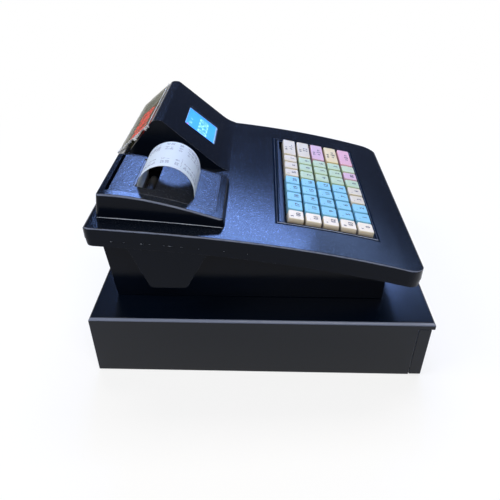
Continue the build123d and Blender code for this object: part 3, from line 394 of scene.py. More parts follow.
keyColours = {
    "keyCream": (0.66, 0.59, 0.45), "keyWhite": (0.84, 0.75, 0.6), "keyBlue": (0.24, 0.54, 0.7),
    "keyGreen": (0.46, 0.58, 0.38), "keyPaleGreen": (0.52, 0.6, 0.4), "keyOrchid": (0.64, 0.42, 0.5),
    "keyPink": (0.72, 0.4, 0.46), "keyYellow": (0.74, 0.61, 0.34),
}
glasses = {
    "lcdWindow": dict(colour=(0.6, 0.8, 1.0), alpha=0.06, roughness=0.05),
    "smokedFilm": dict(colour=(0.05, 0.046, 0.02), alpha=0.4, roughness=0.15, coat=0.1, index=1.04),
    "wornFilm": dict(colour=(0.2, 0.19, 0.11), alpha=0.3, roughness=0.6, wrinkle=0.0006, coat=0.0,
                     index=1.04),
    "filmEdge": dict(colour=(0.8, 0.82, 0.86), alpha=0.92, roughness=0.25, wrinkle=0.0012),
}
glows = {
    # colour and strength
    "lcdBlue": ((0.005, 0.27, 1.0), 1.0), "lcdBorder": ((0.35, 0.55, 0.85), 0.5),
    "lcdGlyph": ((0.45, 0.85, 1.0), 1.0), "lcdMark": ((0.85, 0.12, 0.35), 0.6),
    "ledRed": ((1.0, 0.012, 0.02), 3.0), "ledFace": ((0.3, 0.012, 0.008), 0.5),
}
finishes.update({name: dict(colour=colour, level=0.3, glow=0.4) for name, colour in keyColours.items()})
materials = {name: makeFinish(name, **values) for name, values in finishes.items()}
materials.update({name: makeGlass(name, **values) for name, values in glasses.items()})
materials.update({name: makeGlow(name, *values) for name, values in glows.items()})
print("materials made:", len(materials))

meshing = {
    "weld": 2e-6,           # corners nearer than this become one, in metres
    "sliver": 1e-6,
    "flat": 0.6,            # degrees within which neighbouring faces run together
    "crease": 32.0,         # degrees from which an edge is shaded as sharp
    "unjoined": ("till_tray", "drawer_box"),   # their flat sides are full of openings and stay triangles
    "roundFrom": 28.0,      # degrees from which an edge is softened
    "roundSteps": 2,
    "leastArea": 1e-12,     # smaller triangles say nothing about a side
    "facing": 0.2,          # least part of a side's normal along the direction that it looks in
}


def meshPoints(mesh):
    points = np.empty(len(mesh.vertices) * 3)
    mesh.vertices.foreach_get("co", points)
    return points.reshape(-1, 3)


# corner points of a node's triangles, as an array of triangles by corners by xyz
def looseTriangles(name):
    mesh = nodes[name].data
    mesh.calc_loop_triangles()
    corners = np.empty(len(mesh.loop_triangles) * 3, int)
    mesh.loop_triangles.foreach_get("vertices", corners)
    return meshPoints(mesh)[corners].reshape(-1, 3, 3)


def nodeBox(name):
    points = looseTriangles(name).reshape(-1, 3)
    return points.min(0), points.max(0)


# axes u (sideways), v, w of the node's largest flat side that looks towards a direction: the normals of
# its triangles are grouped, and the group with the most area wins
def faceFrame(name, towards):
    triangles = looseTriangles(name)
    cross = np.cross(triangles[:, 1] - triangles[:, 0], triangles[:, 2] - triangles[:, 0])
    area = np.linalg.norm(cross, axis=1)
    good = area > meshing["leastArea"]
    normal, area, triangles = cross[good] / area[good, None], area[good], triangles[good]
    directions, group = np.unique(np.round(normal, 2), axis=0, return_inverse=True)
    weight = np.bincount(group.ravel(), area) * (directions @ np.array(towards) > meshing["facing"])
    best = group.ravel() == weight.argmax()
    w = (normal[best] * area[best, None]).sum(0)
    w /= np.linalg.norm(w)
    u = np.array([1.0, 0.0, 0.0])
    v = np.cross(w, u)
    axes = np.array([u, v / np.linalg.norm(v), w])
    spread = triangles.reshape(-1, 3) @ axes.T
    return axes, spread.min(0), spread.max(0)


# a node's triangles joined at their corners, with flat areas run together
def mergedMesh(name, flat):
    mesh = nodes[name].data.copy()
    work = bmesh.new()
    work.from_mesh(mesh)
    bmesh.ops.remove_doubles(work, verts=work.verts, dist=meshing["weld"])
    bmesh.ops.dissolve_degenerate(work, edges=work.edges, dist=meshing["sliver"])
    if name not in meshing["unjoined"]:
        bmesh.ops.dissolve_limit(work, angle_limit=radians(flat), verts=work.verts, edges=work.edges)
    for face in work.faces:
        face.smooth = True
    work.to_mesh(mesh)
    work.free()
    mesh.materials.clear()
    mesh.set_sharp_from_angle(angle=radians(meshing["crease"]))
    return mesh


# a piece on a node's body, with the finishes of its faces; it may stand for the node
def addPiece(name, mesh, node, looks, standsFor=False):
    piece = addObject(name, mesh)
    for look in looks:
        mesh.materials.append(materials[look])
    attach(piece, bodyOf[node])
    if standsFor:
        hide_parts(node)
    return piece


# the node itself with joined edges, rounded by width; a second finish, the paler painted highlight, goes on
# those rounded edges when one is given
def refine(name, looks, width):
    piece = addPiece(name + "Fine", mergedMesh(name, meshing["flat"]), name, looks, True)
    bevel = piece.modifiers.new("edgeRound", "BEVEL")
    bevel.width = width
    bevel.segments = meshing["roundSteps"]
    bevel.limit_method = "ANGLE"
    bevel.angle_limit = radians(meshing["roundFrom"])
    bevel.miter_outer = "MITER_ARC"
    if len(looks) > 1:
        bevel.material = 1
    shading = piece.modifiers.new("flatShading", "WEIGHTED_NORMAL")
    shading.mode = "FACE_AREA"
    shading.keep_sharp = True


# one mesh of several (points, faces, material number, smooth) parts, turned from the given axes
def meshFrom(name, parts, axes=None):
    points, faces, slots, smooth, start = [], [], [], [], 0
    for partPoints, partFaces, slot, isSmooth in parts:
        points.append(partPoints)
        faces += [[corner + start for corner in face] for face in partFaces]
        slots += [slot] * len(partFaces)
        smooth += [isSmooth] * len(partFaces)
        start += len(partPoints)
    points = np.concatenate(points)
    if axes is not None:
        points = points @ axes
    mesh = bpy.data.meshes.new(name)
    mesh.from_pydata(points.tolist(), [], faces)
    mesh.polygons.foreach_set("material_index", slots)
    mesh.polygons.foreach_set("use_smooth", smooth)
    mesh.update()
    return mesh


# a box between its low and its high corner
def boxPart(low, high, slot):
    x, y, z = np.meshgrid(*[(a, b) for a, b in zip(low, high)], indexing="ij")
    points = np.stack([x, y, z], -1).reshape(-1, 3)
    faces = [(0, 1, 3, 2), (4, 6, 7, 5), (0, 4, 5, 1), (2, 3, 7, 6), (0, 2, 6, 4), (1, 5, 7, 3)]
    return points, faces, slot, False


# points and faces of a stack of closed rings, with both ends filled
def stackRings(rings):
    count, around = rings.shape[:2]
    index = np.arange(count * around).reshape(count, around)
    right = np.roll(index, -1, 1)
    quads = np.stack([index[:-1], right[:-1], right[1:], index[1:]], -1).reshape(-1, 4)
    return rings.reshape(-1, 3), quads.tolist() + [index[0, ::-1].tolist(), index[-1].tolist()]


# faces of a closed sheet: outer side, inner side and the rim between them, for points given row by row
# on the outer side and then again on the inner side
def sheetFaces(rows, columns):
    count = rows * columns
    index = np.arange(count).reshape(rows, columns)
    quads = np.stack([index[:-1, :-1], index[:-1, 1:], index[1:, 1:], index[1:, :-1]], -1).reshape(-1, 4)
    loop = np.concatenate([index[0], index[1:, -1], index[-1, -2::-1], index[-2:0:-1, 0]])
    after = np.roll(loop, -1)
    rim = np.stack([after, loop, loop + count, after + count], -1)
    return np.concatenate([quads, quads[:, ::-1] + count, rim]).tolist()


softened = {
    # node: finish, edge radius in metres
    "drawer_case": ("casePaint", 0.0004),
    "drawer_front": ("casePaint", 0.0003),
    "case_base": ("zinc", 0.0003),
    "drawer_rails": ("zinc", 0.0002),
    "drawer_box": ("zinc", 0.0003),
    "till_tray": ("tray", 0.0006),
    "drawer_latch": ("zinc", 0.0002),
    "latch_solenoid": ("copper", 0.0002),
    "drawer_lock": ("lockChrome", 0.0002),
    "rubber_feet": ("rubber", 0.0003),
    "case_rollers": ("whiteRoller", 0.0002),
    "box_rollers": ("whiteRoller", 0.0002),
    "lower_housing": ("shell", 0.0005),
    "upper_housing": ("shell", 0.0004),
    "keyboard_frame": ("well", 0.0004),
    "circuit_boards": ("board", 0.0001),
    "power_socket": ("well", 0.0002),
    "printer_cover": ("shell", 0.0005),
    "paper_lid": ("lid", 0.0004),
    "tear_bar": ("toothSteel", 0.00008),
    "paper_roll": ("rollPaper", 0.0002),
    "printer_chassis": ("well", 0.0003),
    "platen_roller": ("rubber", 0.0001),
    "motor_gear": ("brass", 0.00008),
    "stepper_motor": ("zinc", 0.0003),
    "print_head": ("zinc", 0.0002),
    "display_housing": ("shell", 0.0006),
    **{f"bill_clip_{number}": ("tray", 0.0004) for number in range(1, 5)},
}
bevelHighlighted = ("shell", "lid", "casePaint", "well")   # finishes whose rounded edges get a painted highlight: a paler colour on the bevel faces
displays = {"operator_window": "lcdWindow", "operator_display": "lcdBorder",
            "customer_window": "smokedFilm", "customer_display": "well"}
displayEdge = 0.0002
for name, (finish, width) in softened.items():
    refine(name, [finish, "paintedBevelHighlight"] if finish in bevelHighlighted else [finish], width)
for name, finish in displays.items():
    refine(name, [finish], displayEdge)
print("nodes dressed:", len(softened) + len(displays))

segmentBars = {
    # x0, y0, x1, y1 of each bar's middle line, as shares of the glyph's width and height
    "a": (0, 1, 1, 1), "b": (1, 0.5, 1, 1), "c": (1, 0, 1, 0.5), "d": (0, 0, 1, 0),
    "e": (0, 0, 0, 0.5), "f": (0, 0.5, 0, 1), "g": (0, 0.5, 1, 0.5), ".": (1.35, 0, 1.4, 0),
}
litSegments = {"0": "abcdef", "1": "bc", "2": "abged", "3": "abgcd", "4": "fgbc", "5": "afgcd", "6": "afgedc",
               "7": "abc", "8": "abcdefg", "9": "abcdfg", "-": "g", ".": ".", "E": "afged",
               "P": "abfge", " ": ""}
barShape = {
    "taper": 0.6,           # length of each end's taper, as a share of the stroke
    "taperMost": 0.3,       # and no more than this share of the bar
    "tip": 0.2,             # where the tip is, as a share of the taper
}


# outlines of every lit bar of a row of seven-bar digits: hexagons that taper towards both ends
def digitBars(text, x, y, width, height, pitch, stroke, slant=0.0):
    bars = []
    for place, letter in enumerate(text):
        for segment in litSegments[letter]:
            x0, y0, x1, y1 = segmentBars[segment]
            start, end = np.array([x0 * width, y0 * height]), np.array([x1 * width, y1 * height])
            length = np.linalg.norm(end - start)
            along = (end - start) / max(length, 1e-9)
            across = np.array([-along[1], along[0]]) * stroke / 2
            inset = along * min(stroke * barShape["taper"], length * barShape["taperMost"])
            tip = inset * barShape["tip"]
            outline = np.array([start + tip, start + inset - across, end - inset - across,
                                end - tip, end - inset + across, start + inset + across])
            outline[:, 0] += slant * outline[:, 1] + x + place * pitch
            outline[:, 1] += y
            bars.append(outline)
    return bars


# thin closed prisms on the plane w = lift, or on the surface that bend maps (u, v, w) to
def barPart(outlines, lift, depth, slot, bend=None):
    points, faces, start = [], [], 0
    for outline in outlines:
        count = len(outline)
        low = np.column_stack([outline, np.full(count, lift)])
        high = np.column_stack([outline, np.full(count, lift + depth)])
        points.append(np.concatenate([low, high]))
        faces.append([start + k for k in reversed(range(count))])
        faces.append([start + count + k for k in range(count)])
        faces += [[start + k, start + (k + 1) % count, start + count + (k + 1) % count, start + count + k]
                  for k in range(count)]
        start += 2 * count
    points = np.concatenate(points)
    return (bend(points) if bend else points), faces, slot, False


keys = {
    "legendSize": 0.0068,
    "smallSize": 0.0042,
    "wideSize": 0.0078,
    "wideFrom": 0.012,      # half width from which a cap counts as wide
    "legendPlace": (0.0016, -0.0026),
    "smallPlace": (-0.0032, 0.0042),
    "legendLift": 0.00004,
    "legendDepth": 0.00006,
    "legendWeight": 0.012,  # how much the strokes are thickened, as a share of the size
    "corner": 0.0016,       # upright corners at the base
    "cornerShrink": 0.3,    # how much they tighten as the sides lean in
    "cornerLeast": 0.0005,
    "edge": 0.0009,         # round edge of the top
    "dish": 0.0006,
    "aroundSteps": 64, "edgeSteps": 6, "topRings": 6,
    "flat": 0.01,           # degrees within which a cap's faces run together before it is measured
    "sideShare": 0.8,       # of the half width: points further out belong to the cap's sides
    "topBand": 0.0012,      # points this near the top belong to it
    "stemClear": 0.001,     # points this far below the base belong to the stem
    "stemSink": 0.0005,     # how far the stem reaches up into the cap
    # node: colour of each cap, its legend and the small one, from the rear row to the front row
    "caps": {
        "function_keys": [("keyWhite", "00", "%"), ("keyWhite", "01", "-"), ("keyWhite", "02", "+"),
                          ("keyWhite", "03", "#"), ("keyWhite", "0", "x")],
        **{f"department_keys_{column}": [("keyBlue", str(16 + column - 4 * row), "-") for row in range(rows)]
           for column, rows in ((1, 5), (2, 5), (3, 4), (4, 4))},
        "clear_keys": [("keyCream", "3", "-"), ("keyCream", "4", "-")],
        "register_keys": [("keyCream", "%", "1"), ("keyCream", "x", ""), ("keyCream", "/", "")],
        "feed_key": [("keyCream", "+ 1 -", "00  11")],
        "charge_key": [("keyCream", "2 2", "#  #")],
        "check_key": [("keyOrchid", "= 3 =", "10  01")],
        "subtotal_key": [("keyYellow", "= # =", "00  00")],
        "cash_key": [("keyPink", "= 0 =", "")],
        **{f"key_{digit}": [("keyGreen", digit, "")] for digit in "7894561230"},
        "key_00": [("keyOrchid", "00", "")],
        "key_point": [("keyPaleGreen", ".", "")],
    },
}
keyAxes = faceFrame("keyboard_frame", (0, 0, 1))[0]


# the node's separate solids, each as its points along the keyboard's axes
def looseIslands(name):
    work = bmesh.new()
    work.from_mesh(mergedMesh(name, keys["flat"]))
    seen, islands = set(), []
    for start in work.verts:
        if start.index in seen:
            continue
        seen.add(start.index)
        island, front = [start.co[:]], [start]
        while front:
            for edge in front.pop().link_edges:
                for vert in edge.verts:
                    if vert.index not in seen:
                        seen.add(vert.index)
                        island.append(vert.co[:])
                        front.append(vert)
        islands.append(np.array(island) @ keyAxes.T)
    work.free()
    return islands


# centre and half sizes at the base, how far the sides lean in, and the levels of stem, base and top
def capSizes(points):
    low, high = points.min(0), points.max(0)
    centre = (low[:2] + high[:2]) / 2
    half = (high[:2] - low[:2]) / 2
    wide = np.abs(points[:, 0] - centre[0]) > half[0] * keys["sideShare"]
    base = points[wide, 2].min()
    top = points[points[:, 2] > high[2] - keys["topBand"]]
    lean = half[1] - np.abs(top[:, 1] - centre[1]).max()
    return centre, half, lean, low[2], base, high[2]


# points once round a rectangle: a quarter circle, then a straight run to the next corner, four times
def roundedRectangle(halfWidth, halfLength, corner, share):
    quarter = np.minimum((share * 4).astype(int), 3)
    step = (share * 4 - quarter) * 2
    angle = (np.clip(step, 0, 1) + quarter) * pi / 2
    run = np.clip(step - 1, 0, 1)
    sides = np.array([(1, 1), (-1, 1), (-1, -1), (1, -1), (1, 1)])
    place = sides[quarter] * (1 - run)[..., None] + sides[quarter + 1] * run[..., None]
    return (place[..., 0] * (halfWidth - corner) + corner * np.cos(angle),
            place[..., 1] * (halfLength - corner) + corner * np.sin(angle))


# how deep a cap's top is x away from its middle line: dish (1 - (x / span)^2)
def dishDepth(x, span):
    return keys["dish"] * np.clip(1 - (x / span) ** 2, 0, 1)


# leaning sides, a quarter-round edge, and rings that shrink to the middle of a top that is dished
# across its width
def capSurface(centre, half, lean, base, top):
    around = np.linspace(0, 1, keys["aroundSteps"] + 1)[:-1]
    arc = np.linspace(0, pi / 2, keys["edgeSteps"])
    shrink = np.linspace(1, 0, keys["topRings"] + 1)[1:]
    edge, height = keys["edge"], top - base
    inset = np.concatenate([[0.0], lean + edge * (1 - np.cos(arc)), np.full(len(shrink), lean + edge)])
    level = np.concatenate([[0.0], height - edge + edge * np.sin(arc), np.full(len(shrink), height)])
    scale = np.concatenate([np.ones(1 + len(arc)), shrink])
    corner = np.maximum(keys["corner"] - inset[:, None] * keys["cornerShrink"], keys["cornerLeast"])
    x, y = roundedRectangle(half[0] - inset[:, None], half[1] - inset[:, None], corner, around[None, :])
    x, y = x * scale[:, None], y * scale[:, None]
    dish = dishDepth(x, half[0] - lean) * np.clip((level[:, None] - height + edge) / edge, 0, 1)
    return np.stack([x + centre[0], y + centre[1], base + level[:, None] - dish], -1)


# a legend as a thin closed solid that follows the dish of its cap
def legendMesh(text, size, place, centre, top, span):
    curve = bpy.data.curves.new("legend", "FONT")
    curve.body = text
    curve.size = size
    curve.align_x, curve.align_y = "CENTER", "CENTER"
    curve.extrude = keys["legendDepth"]
    curve.offset = size * keys["legendWeight"]
    curve.resolution_u = 2
    holder = addObject("legend", curve)
    bpy.context.view_layer.update()
    mesh = holder.to_mesh()
    points = meshPoints(mesh)
    faces = [tuple(face.vertices) for face in mesh.polygons]
    holder.to_mesh_clear()
    bpy.data.objects.remove(holder)
    bpy.data.curves.remove(curve)
    points[:, :2] += place
    points[:, 2] += top + keys["legendLift"] - dishDepth(points[:, 0], span)
    points[:, :2] += centre
    return points, faces


def makeKeys():
    for name, caps in keys["caps"].items():
        islands = sorted(looseIslands(name), key=lambda p: (-round(p[:, 1].mean(), 4), p[:, 0].mean()))
        assert len(islands) == len(caps), (name, len(islands), len(caps))
        colours = list(dict.fromkeys(colour for colour, text, small in caps))
        parts = []
        for points, (colour, text, small) in zip(islands, caps):
            centre, half, lean, low, base, top = capSizes(points)
            slot = colours.index(colour)
            parts.append((*stackRings(capSurface(centre, half, lean, base, top)), slot, True))
            stem = np.abs(points[points[:, 2] < base - keys["stemClear"]][:, :2] - centre).max(0)
            parts.append(boxPart((*(centre - stem), low), (*(centre + stem), base + keys["stemSink"]), slot))
            large = keys["wideSize" if half[0] > keys["wideFrom"] else "legendSize"]
            for words, size, place in ((text, large, keys["legendPlace"]),
                                       (small, keys["smallSize"], keys["smallPlace"])):
                if words:
                    legend = legendMesh(words, size, place, centre, top, half[0] - lean)
                    parts.append((*legend, len(colours), False))
        addPiece(name + "Caps", meshFrom(name, parts, keyAxes), name, colours + ["keyLegend"], True)


makeKeys()
print("key caps made")

trim = {
    "deckCurve": (0.1738, 0.1395, -0.35, 0.44),
    "sideSteps": 60,
    "rimWidth": 0.0046,       # band of painted shade round the key well, from the opening outwards
    "rimOverhang": 0.0026,    # how far its left run stands in over the well
    "rimHeight": 0.00012,
    "rimInset": 0.0027,       # from the frame's outer edge in to the opening's edge
    "beadWidth": 0.0006,
    "beadHeight": 0.00025,
    "beadSides": 8,
    "footReach": 0.0016,      # how near the deck the cover's foot is looked for
    "footBand": 0.001,        # and how near its outermost side
    "footLine": (0.00045, 0.0003),   # width and height of the painted highlight line at the cover's foot
    "seamDepth": 0.01305,     # below the deck's top
    "glintFace": (-0.1497, -0.1492),
    "glintHeight": 0.0003,
    # y of each painted glint on the seam, and its length
    "glints": ((0.1395, 0.003), (0.128, 0.0016), (0.1105, 0.0045), (0.104, 0.0015), (0.0905, 0.0012),
               (0.0835, 0.006), (0.0745, 0.002), (0.058, 0.0011), (0.034, 0.0022), (0.012, 0.0012)),
}


# z = a + b y + c y^2 + d y^3, the side view of the deck
def deckHeight(y):
    return sum(value * y ** power for power, value in enumerate(trim["deckCurve"]))


# a closed profile, (outwards, up) from the deck, carried round a rectangle with mitred corners
def loopOnDeck(low, high, profile):
    (x0, y0), (x1, y1) = low, high
    side = np.linspace(0, 1, trim["sideSteps"], endpoint=False)
    still = np.ones(len(side))
    loop = np.concatenate([np.column_stack([x0 + (x1 - x0) * side, y0 * still]),
                           np.column_stack([x1 * still, y0 + (y1 - y0) * side]),
                           np.column_stack([x1 + (x0 - x1) * side, y1 * still]),
                           np.column_stack([x0 * still, y1 + (y0 - y1) * side])])
    middle = (low + high) / 2
    out = np.sign(loop - middle) * np.isclose(np.abs(loop - middle), (high - low) / 2)
    place = loop[:, None, :] + out[:, None, :] * profile[None, :, :1]
    points = np.concatenate([place, (deckHeight(place[..., 1]) + profile[:, 1])[..., None]], -1)
    index = np.arange(len(loop) * len(profile)).reshape(len(loop), -1)
    after = np.roll(index, -1, 0)
    faces = np.stack([index, after, np.roll(after, -1, 1), np.roll(index, -1, 1)], -1).reshape(-1, 4)
    return points.reshape(-1, 3), faces.tolist()


# a flat band of painted shade round the key well and a bead of painted highlight along its middle, painted
# paler still on the left side
def makeWellShadeAndHighlight():
    low, high = nodeBox("keyboard_frame")
    low, high = low[:2] + trim["rimInset"], high[:2] - trim["rimInset"]
    low[0] += trim["rimOverhang"]
    width, height = trim["rimWidth"], trim["rimHeight"]
    shadeBand = np.array([(0, -height), (width, -height), (width, height), (0, height)])
    angle = np.linspace(0, 2 * pi, trim["beadSides"] + 1)[:-1]
    highlightBead = np.column_stack([width / 2 + trim["beadWidth"] / 2 * np.cos(angle),
                            height + trim["beadHeight"] * np.sin(angle)])
    mesh = meshFrom("wellShadeAndHighlight", [(*loopOnDeck(low, high, shadeBand), 0, False),
                                (*loopOnDeck(low, high, highlightBead), 1, True)])
    slots = np.empty(len(mesh.polygons), int)
    mesh.polygons.foreach_get("material_index", slots)
    slots[-trim["beadSides"] * trim["sideSteps"]:] = 2   # the left side is the last quarter of the loop; it takes the pale painted glint
    mesh.polygons.foreach_set("material_index", slots)
    addPiece("wellShadeAndHighlight", mesh, "upper_housing", ["rim", "highlightBead", "paintedGlint"])


# a painted highlight: a pale ribbon of triangular section along the left side of the printer cover's foot
def makeCoverLine():
    cover = looseTriangles("printer_cover").reshape(-1, 3)
    foot = cover[cover[:, 2] - deckHeight(cover[:, 1]) < trim["footReach"]]
    near = foot[:, 0].min()
    foot = foot[foot[:, 0] < near + trim["footBand"]]
    y = np.linspace(foot[:, 1].min(), foot[:, 1].max(), trim["sideSteps"])[:, None]
    across, rise = trim["footLine"]
    side, up = np.array([(0, -rise), (-across, -rise), (0, rise)]).T
    rings = np.stack(np.broadcast_arrays(near + side, y, deckHeight(y) + up), -1)
    addPiece("coverLine", meshFrom("coverLine", [(*stackRings(rings), 0, False)]), "printer_cover", ["paintedGlint"])


# short painted glints along the seam between the shells
def makeSeamGlints():
    outer, inner = trim["glintFace"]
    parts = []
    for y, length in trim["glints"]:
        z = deckHeight(y) - trim["seamDepth"]
        parts.append(boxPart((outer, y - length / 2, z - trim["glintHeight"]), (inner, y + length / 2, z), 0))
    addPiece("seamGlints", meshFrom("seamGlints", parts), "lower_housing", ["paintedGlint"])


makeWellShadeAndHighlight()
makeCoverLine()
makeSeamGlints()
print("trim made")

receipt = {
    "thickness": 0.00022,
    "tooth": 0.0034,        # pitch of the torn edge
    "toothDepth": 0.0009,
    "cup": 0.0007,          # how far the strip's sides curl down across its width
    "acrossSteps": 73, "alongSteps": 120,
    "firstRow": (0.75, 0.004),   # share of the rising run, and metres past it, where the print starts
    "lastMargin": 0.004,
    "rowPitch": 0.0047,
    "letter": (0.0017, 0.0031),
    "letterPitch": 0.0029,
    "stroke": 0.0006,
    "inkLift": 0.00002, "inkDepth": 0.00003,
    "columns": (0.07, 0.6),  # where the two columns of print start, as a share of the width
    "rows": (("01 1-0", "  1.00"), ("02 2-0", "  2.50"), ("03 1-5", "  0.75"), ("", "------"),
             ("5 0004", "  4.25"), ("P 0001", "  5.00"), ("E 0002", "  0.75"), ("", ""), ("04 3-2", "  3.20"),
             ("05 1-8", "  1.80"), ("", ""), ("06 6-0", "  6.00"), ("", "------"), ("07 2-4", "  2.40"),
             ("08 9-1", "  9.10"), ("09 4-6", "  4.60"), ("10 2-2", " 12.20"), ("11 0-5", "  0.55")),
}


# strip along an arc-length path: straight up, half a circle of radius r about (yc, zc), straight down:
# (y, z) = (yc + r cos a, zc + r sin a), with a sag of cup (2u/w - 1)^2 across the width
def makeReceipt():
    low, high = nodeBox("paper_strip")
    t = receipt["thickness"]
    r = (high[1] - low[1]) / 2 - t / 2
    yc, zc = (high[1] + low[1]) / 2, high[2] - r - t / 2
    strip = looseTriangles("paper_strip").reshape(-1, 3)
    frontLow = strip[strip[:, 1] < yc][:, 2].min()
    up, arc, down = zc - low[2], pi * r, zc - frontLow
    width = high[0] - low[0]

    # (u across from the far side, along the strip, height off its middle) to x, y, z
    def bend(points):
        u, along, off = points.T
        a = np.clip((along - up) / r, 0, pi)
        off = off - receipt["cup"] * (2 * u / width - 1) ** 2 * np.sin(a) ** 2
        y = yc + (r + off) * np.cos(a)
        z = zc + (r + off) * np.sin(a) + np.minimum(along - up, 0) - np.maximum(along - up - arc, 0)
        return np.column_stack([high[0] - u, y, z])

    across, steps = receipt["acrossSteps"], receipt["alongSteps"]
    u = np.linspace(0, width, across)
    end = up + arc + down - receipt["toothDepth"] * np.abs(2 * (u / receipt["tooth"] % 1) - 1)
    along = np.linspace(0, 1, steps)[:, None] * end[None, :]
    grid = np.stack([np.broadcast_to(u, along.shape), along], -1).reshape(-1, 2)
    sides = [np.column_stack([grid, np.full(len(grid), off)]) for off in (t / 2, -t / 2)]
    parts = [(bend(np.concatenate(sides)), sheetFaces(steps, across), 0, True)]
    bars = []
    letterWidth, letterHeight = receipt["letter"]
    share, past = receipt["firstRow"]
    for row, words in enumerate(receipt["rows"]):
        level = up * share + past + row * receipt["rowPitch"]
        if level + letterHeight > up + arc + down - receipt["lastMargin"]:
            break
        for text, column in zip(words, receipt["columns"]):
            bars += digitBars(text, column * width, level, letterWidth, letterHeight,
                              receipt["letterPitch"], receipt["stroke"])
    parts.append(barPart(bars, t / 2 + receipt["inkLift"], receipt["inkDepth"], 1, bend))
    addPiece("receiptStrip", meshFrom("receipt", parts), "paper_strip", ["receiptPaper", "receiptInk"], True)


makeReceipt()
print("receipt made")

screen = {
    "towards": (0, -1, 0.5),   # direction in which the window looks
    "lift": 0.00002,        # of the lit face, above the module's front
    "margin": 0.0002,       # of the lit face, inside the window's edge
    "border": 0.0013,
    "levels": (0.0001, 0.00015, 0.00016),   # tops of the border and the blue face, foot of the glyphs
    "glyphs": "0350",
    "point": 0.9,           # pitches from the first glyph to the point
    "glyphSize": (0.0062, 0.0115),
    "glyphPitch": 0.0108,
    "glyphStroke": 0.0015,
    "glyphDepth": 0.00004,
    "glyphPlace": (0.13, 0.3),   # lower left corner of the row, as a share of the window
    "slant": 0.08,
    "small": ("1.50  2", 0.0016, 0.0028, 0.0034, 0.0005),   # text, width, height, pitch, stroke
    "smallLevel": 0.8,
    "markSize": (0.0016, 0.0028),
    "markPlace": (0.001, 0.0042),   # from the border's upper left corner
    "markPitch": 0.0028,
    "marks": 3,
}


# lit face, its pale border, its digits and marks, on the module's front just behind the window
def makeScreen():
    axes, low, high = faceFrame("operator_window", screen["towards"])
    base = faceFrame("operator_display", screen["towards"])[2][2] + screen["lift"]
    margin, border = screen["margin"], screen["border"]
    edgeTop, faceTop, glyphFoot = screen["levels"]
    parts = [boxPart((low[0] + margin, low[1] + margin, base),
                     (high[0] - margin, high[1] - margin, base + edgeTop), 0),
             boxPart((low[0] + border, low[1] + border, base + edgeTop),
                     (high[0] - border, high[1] - border, base + faceTop), 1)]
    span = high - low
    width, height = screen["glyphSize"]
    pitch, stroke = screen["glyphPitch"], screen["glyphStroke"]
    x, y = low[0] + span[0] * screen["glyphPlace"][0], low[1] + span[1] * screen["glyphPlace"][1]
    bars = digitBars(screen["glyphs"], x, y, width, height, pitch, stroke, screen["slant"])
    bars += digitBars(".", x + pitch * screen["point"], y, width, height, pitch, stroke)
    text, *sizes = screen["small"]
    bars += digitBars(text, x, low[1] + span[1] * screen["smallLevel"], *sizes)
    parts.append(barPart(bars, base + glyphFoot, screen["glyphDepth"], 2))
    wide, tall = screen["markSize"]
    right, down = screen["markPlace"]
    mark = np.array([(0.0, 0.0), (wide, 0.0), (wide, tall), (0.0, tall)])
    marks = [mark + (low[0] + border + right + k * screen["markPitch"], high[1] - border - down)
             for k in range(screen["marks"])]
    parts.append(barPart(marks, base + glyphFoot, screen["glyphDepth"], 3))
    addPiece("screenFace", meshFrom("screen", parts, axes), "operator_display",
             ["lcdBorder", "lcdBlue", "lcdGlyph", "lcdMark"])


makeScreen()

customer = {
    "towards": (0, 0.6, 0.7),  # direction in which the smoked cover's slope looks
    "sheet": 0.0016,        # wall of the smoked cover
    "behind": 0.0008,       # from that wall back to the lit plane
    "digits": "12345678",
    "digitSpan": (0.017, 0.107),   # x of the row's near and far ends
    "digitLevel": (0.019, 0.0395),  # down the slope from the ridge
    "digitStroke": 0.0033,
    "digitShares": (0.14, 0.66),   # of the pitch: where a digit starts, and its width
    "digitLift": 0.0001,
    "digitDepth": 0.0003,
    "slant": 0.05,
    "panelMargin": (0.002, 0.003),
    "panelDepth": 0.001,
}
film = {
    "lift": 0.00055,        # off the smoked cover's slope
    "thickness": 0.00012,
    "wrinkle": 0.00035,
    "waves": ((310, 140, 0.3), (-190, 420, 1.7), (520, -260, 4.1), (90, 700, 2.2), (840, 330, 0.9)),
    "weaken": 0.6,          # how much each wave is weaker than the one before it
    "waveSum": 2.6,         # what the sum is divided by
    "top": 0.0012, "foot": 0.0485,  # down the slope from the ridge
    "margins": (0.0008, 0.0095),   # in from the slope's far and near ends
    "splay": 0.0075,        # how much further out the near wall stands at its foot
    "steps": (150, 50),
    "hemWidth": 0.0011, "hemThickness": 0.0002, "hemLift": 0.0005, "hemRise": 0.0002,
    "hemSteps": (300, 3),
    "ripples": ((0.0002, 1900, 0), (0.00015, 4700, 1)),   # amplitude, waves, phase
    "ragWidth": 0.0046, "ragDrop": 0.0032, "ragThickness": 0.00015, "ragLift": 0.0004,
    "ragLap": 0.0012,       # how far the torn edge starts in from the near end
    "ragSteps": (260, 9),
    "ragShare": 0.5,        # of ragWidth: the reach where the tears add up to 1
    "ragReach": (0.2, 1.2), "ragFall": (0.1, 1.2),   # least and most of the tears for reach and drop
    "tearLevel": 0.5,       # middle level of the tears
    "tears": ((0.32, 330, 1), (0.2, 810, 2), (0.1, 2900, 0)),
    "crumples": ((0.0006, 2600, 5), (0.0005, 1100, -9)),   # amplitude, waves down and across
    "crumpleShare": 0.5,    # how much of the crumple also moves the edge sideways
}


# axes of the smoked cover's slope: u to the operator's left, v up the slope, w outwards; and its bounds
def slopePlane():
    axes = faceFrame("customer_window", customer["towards"])[0]
    axes = np.array([-axes[0], -axes[1], axes[2]])
    spread = looseTriangles("customer_window").reshape(-1, 3) @ axes.T
    return axes, spread.min(0), spread.max(0)


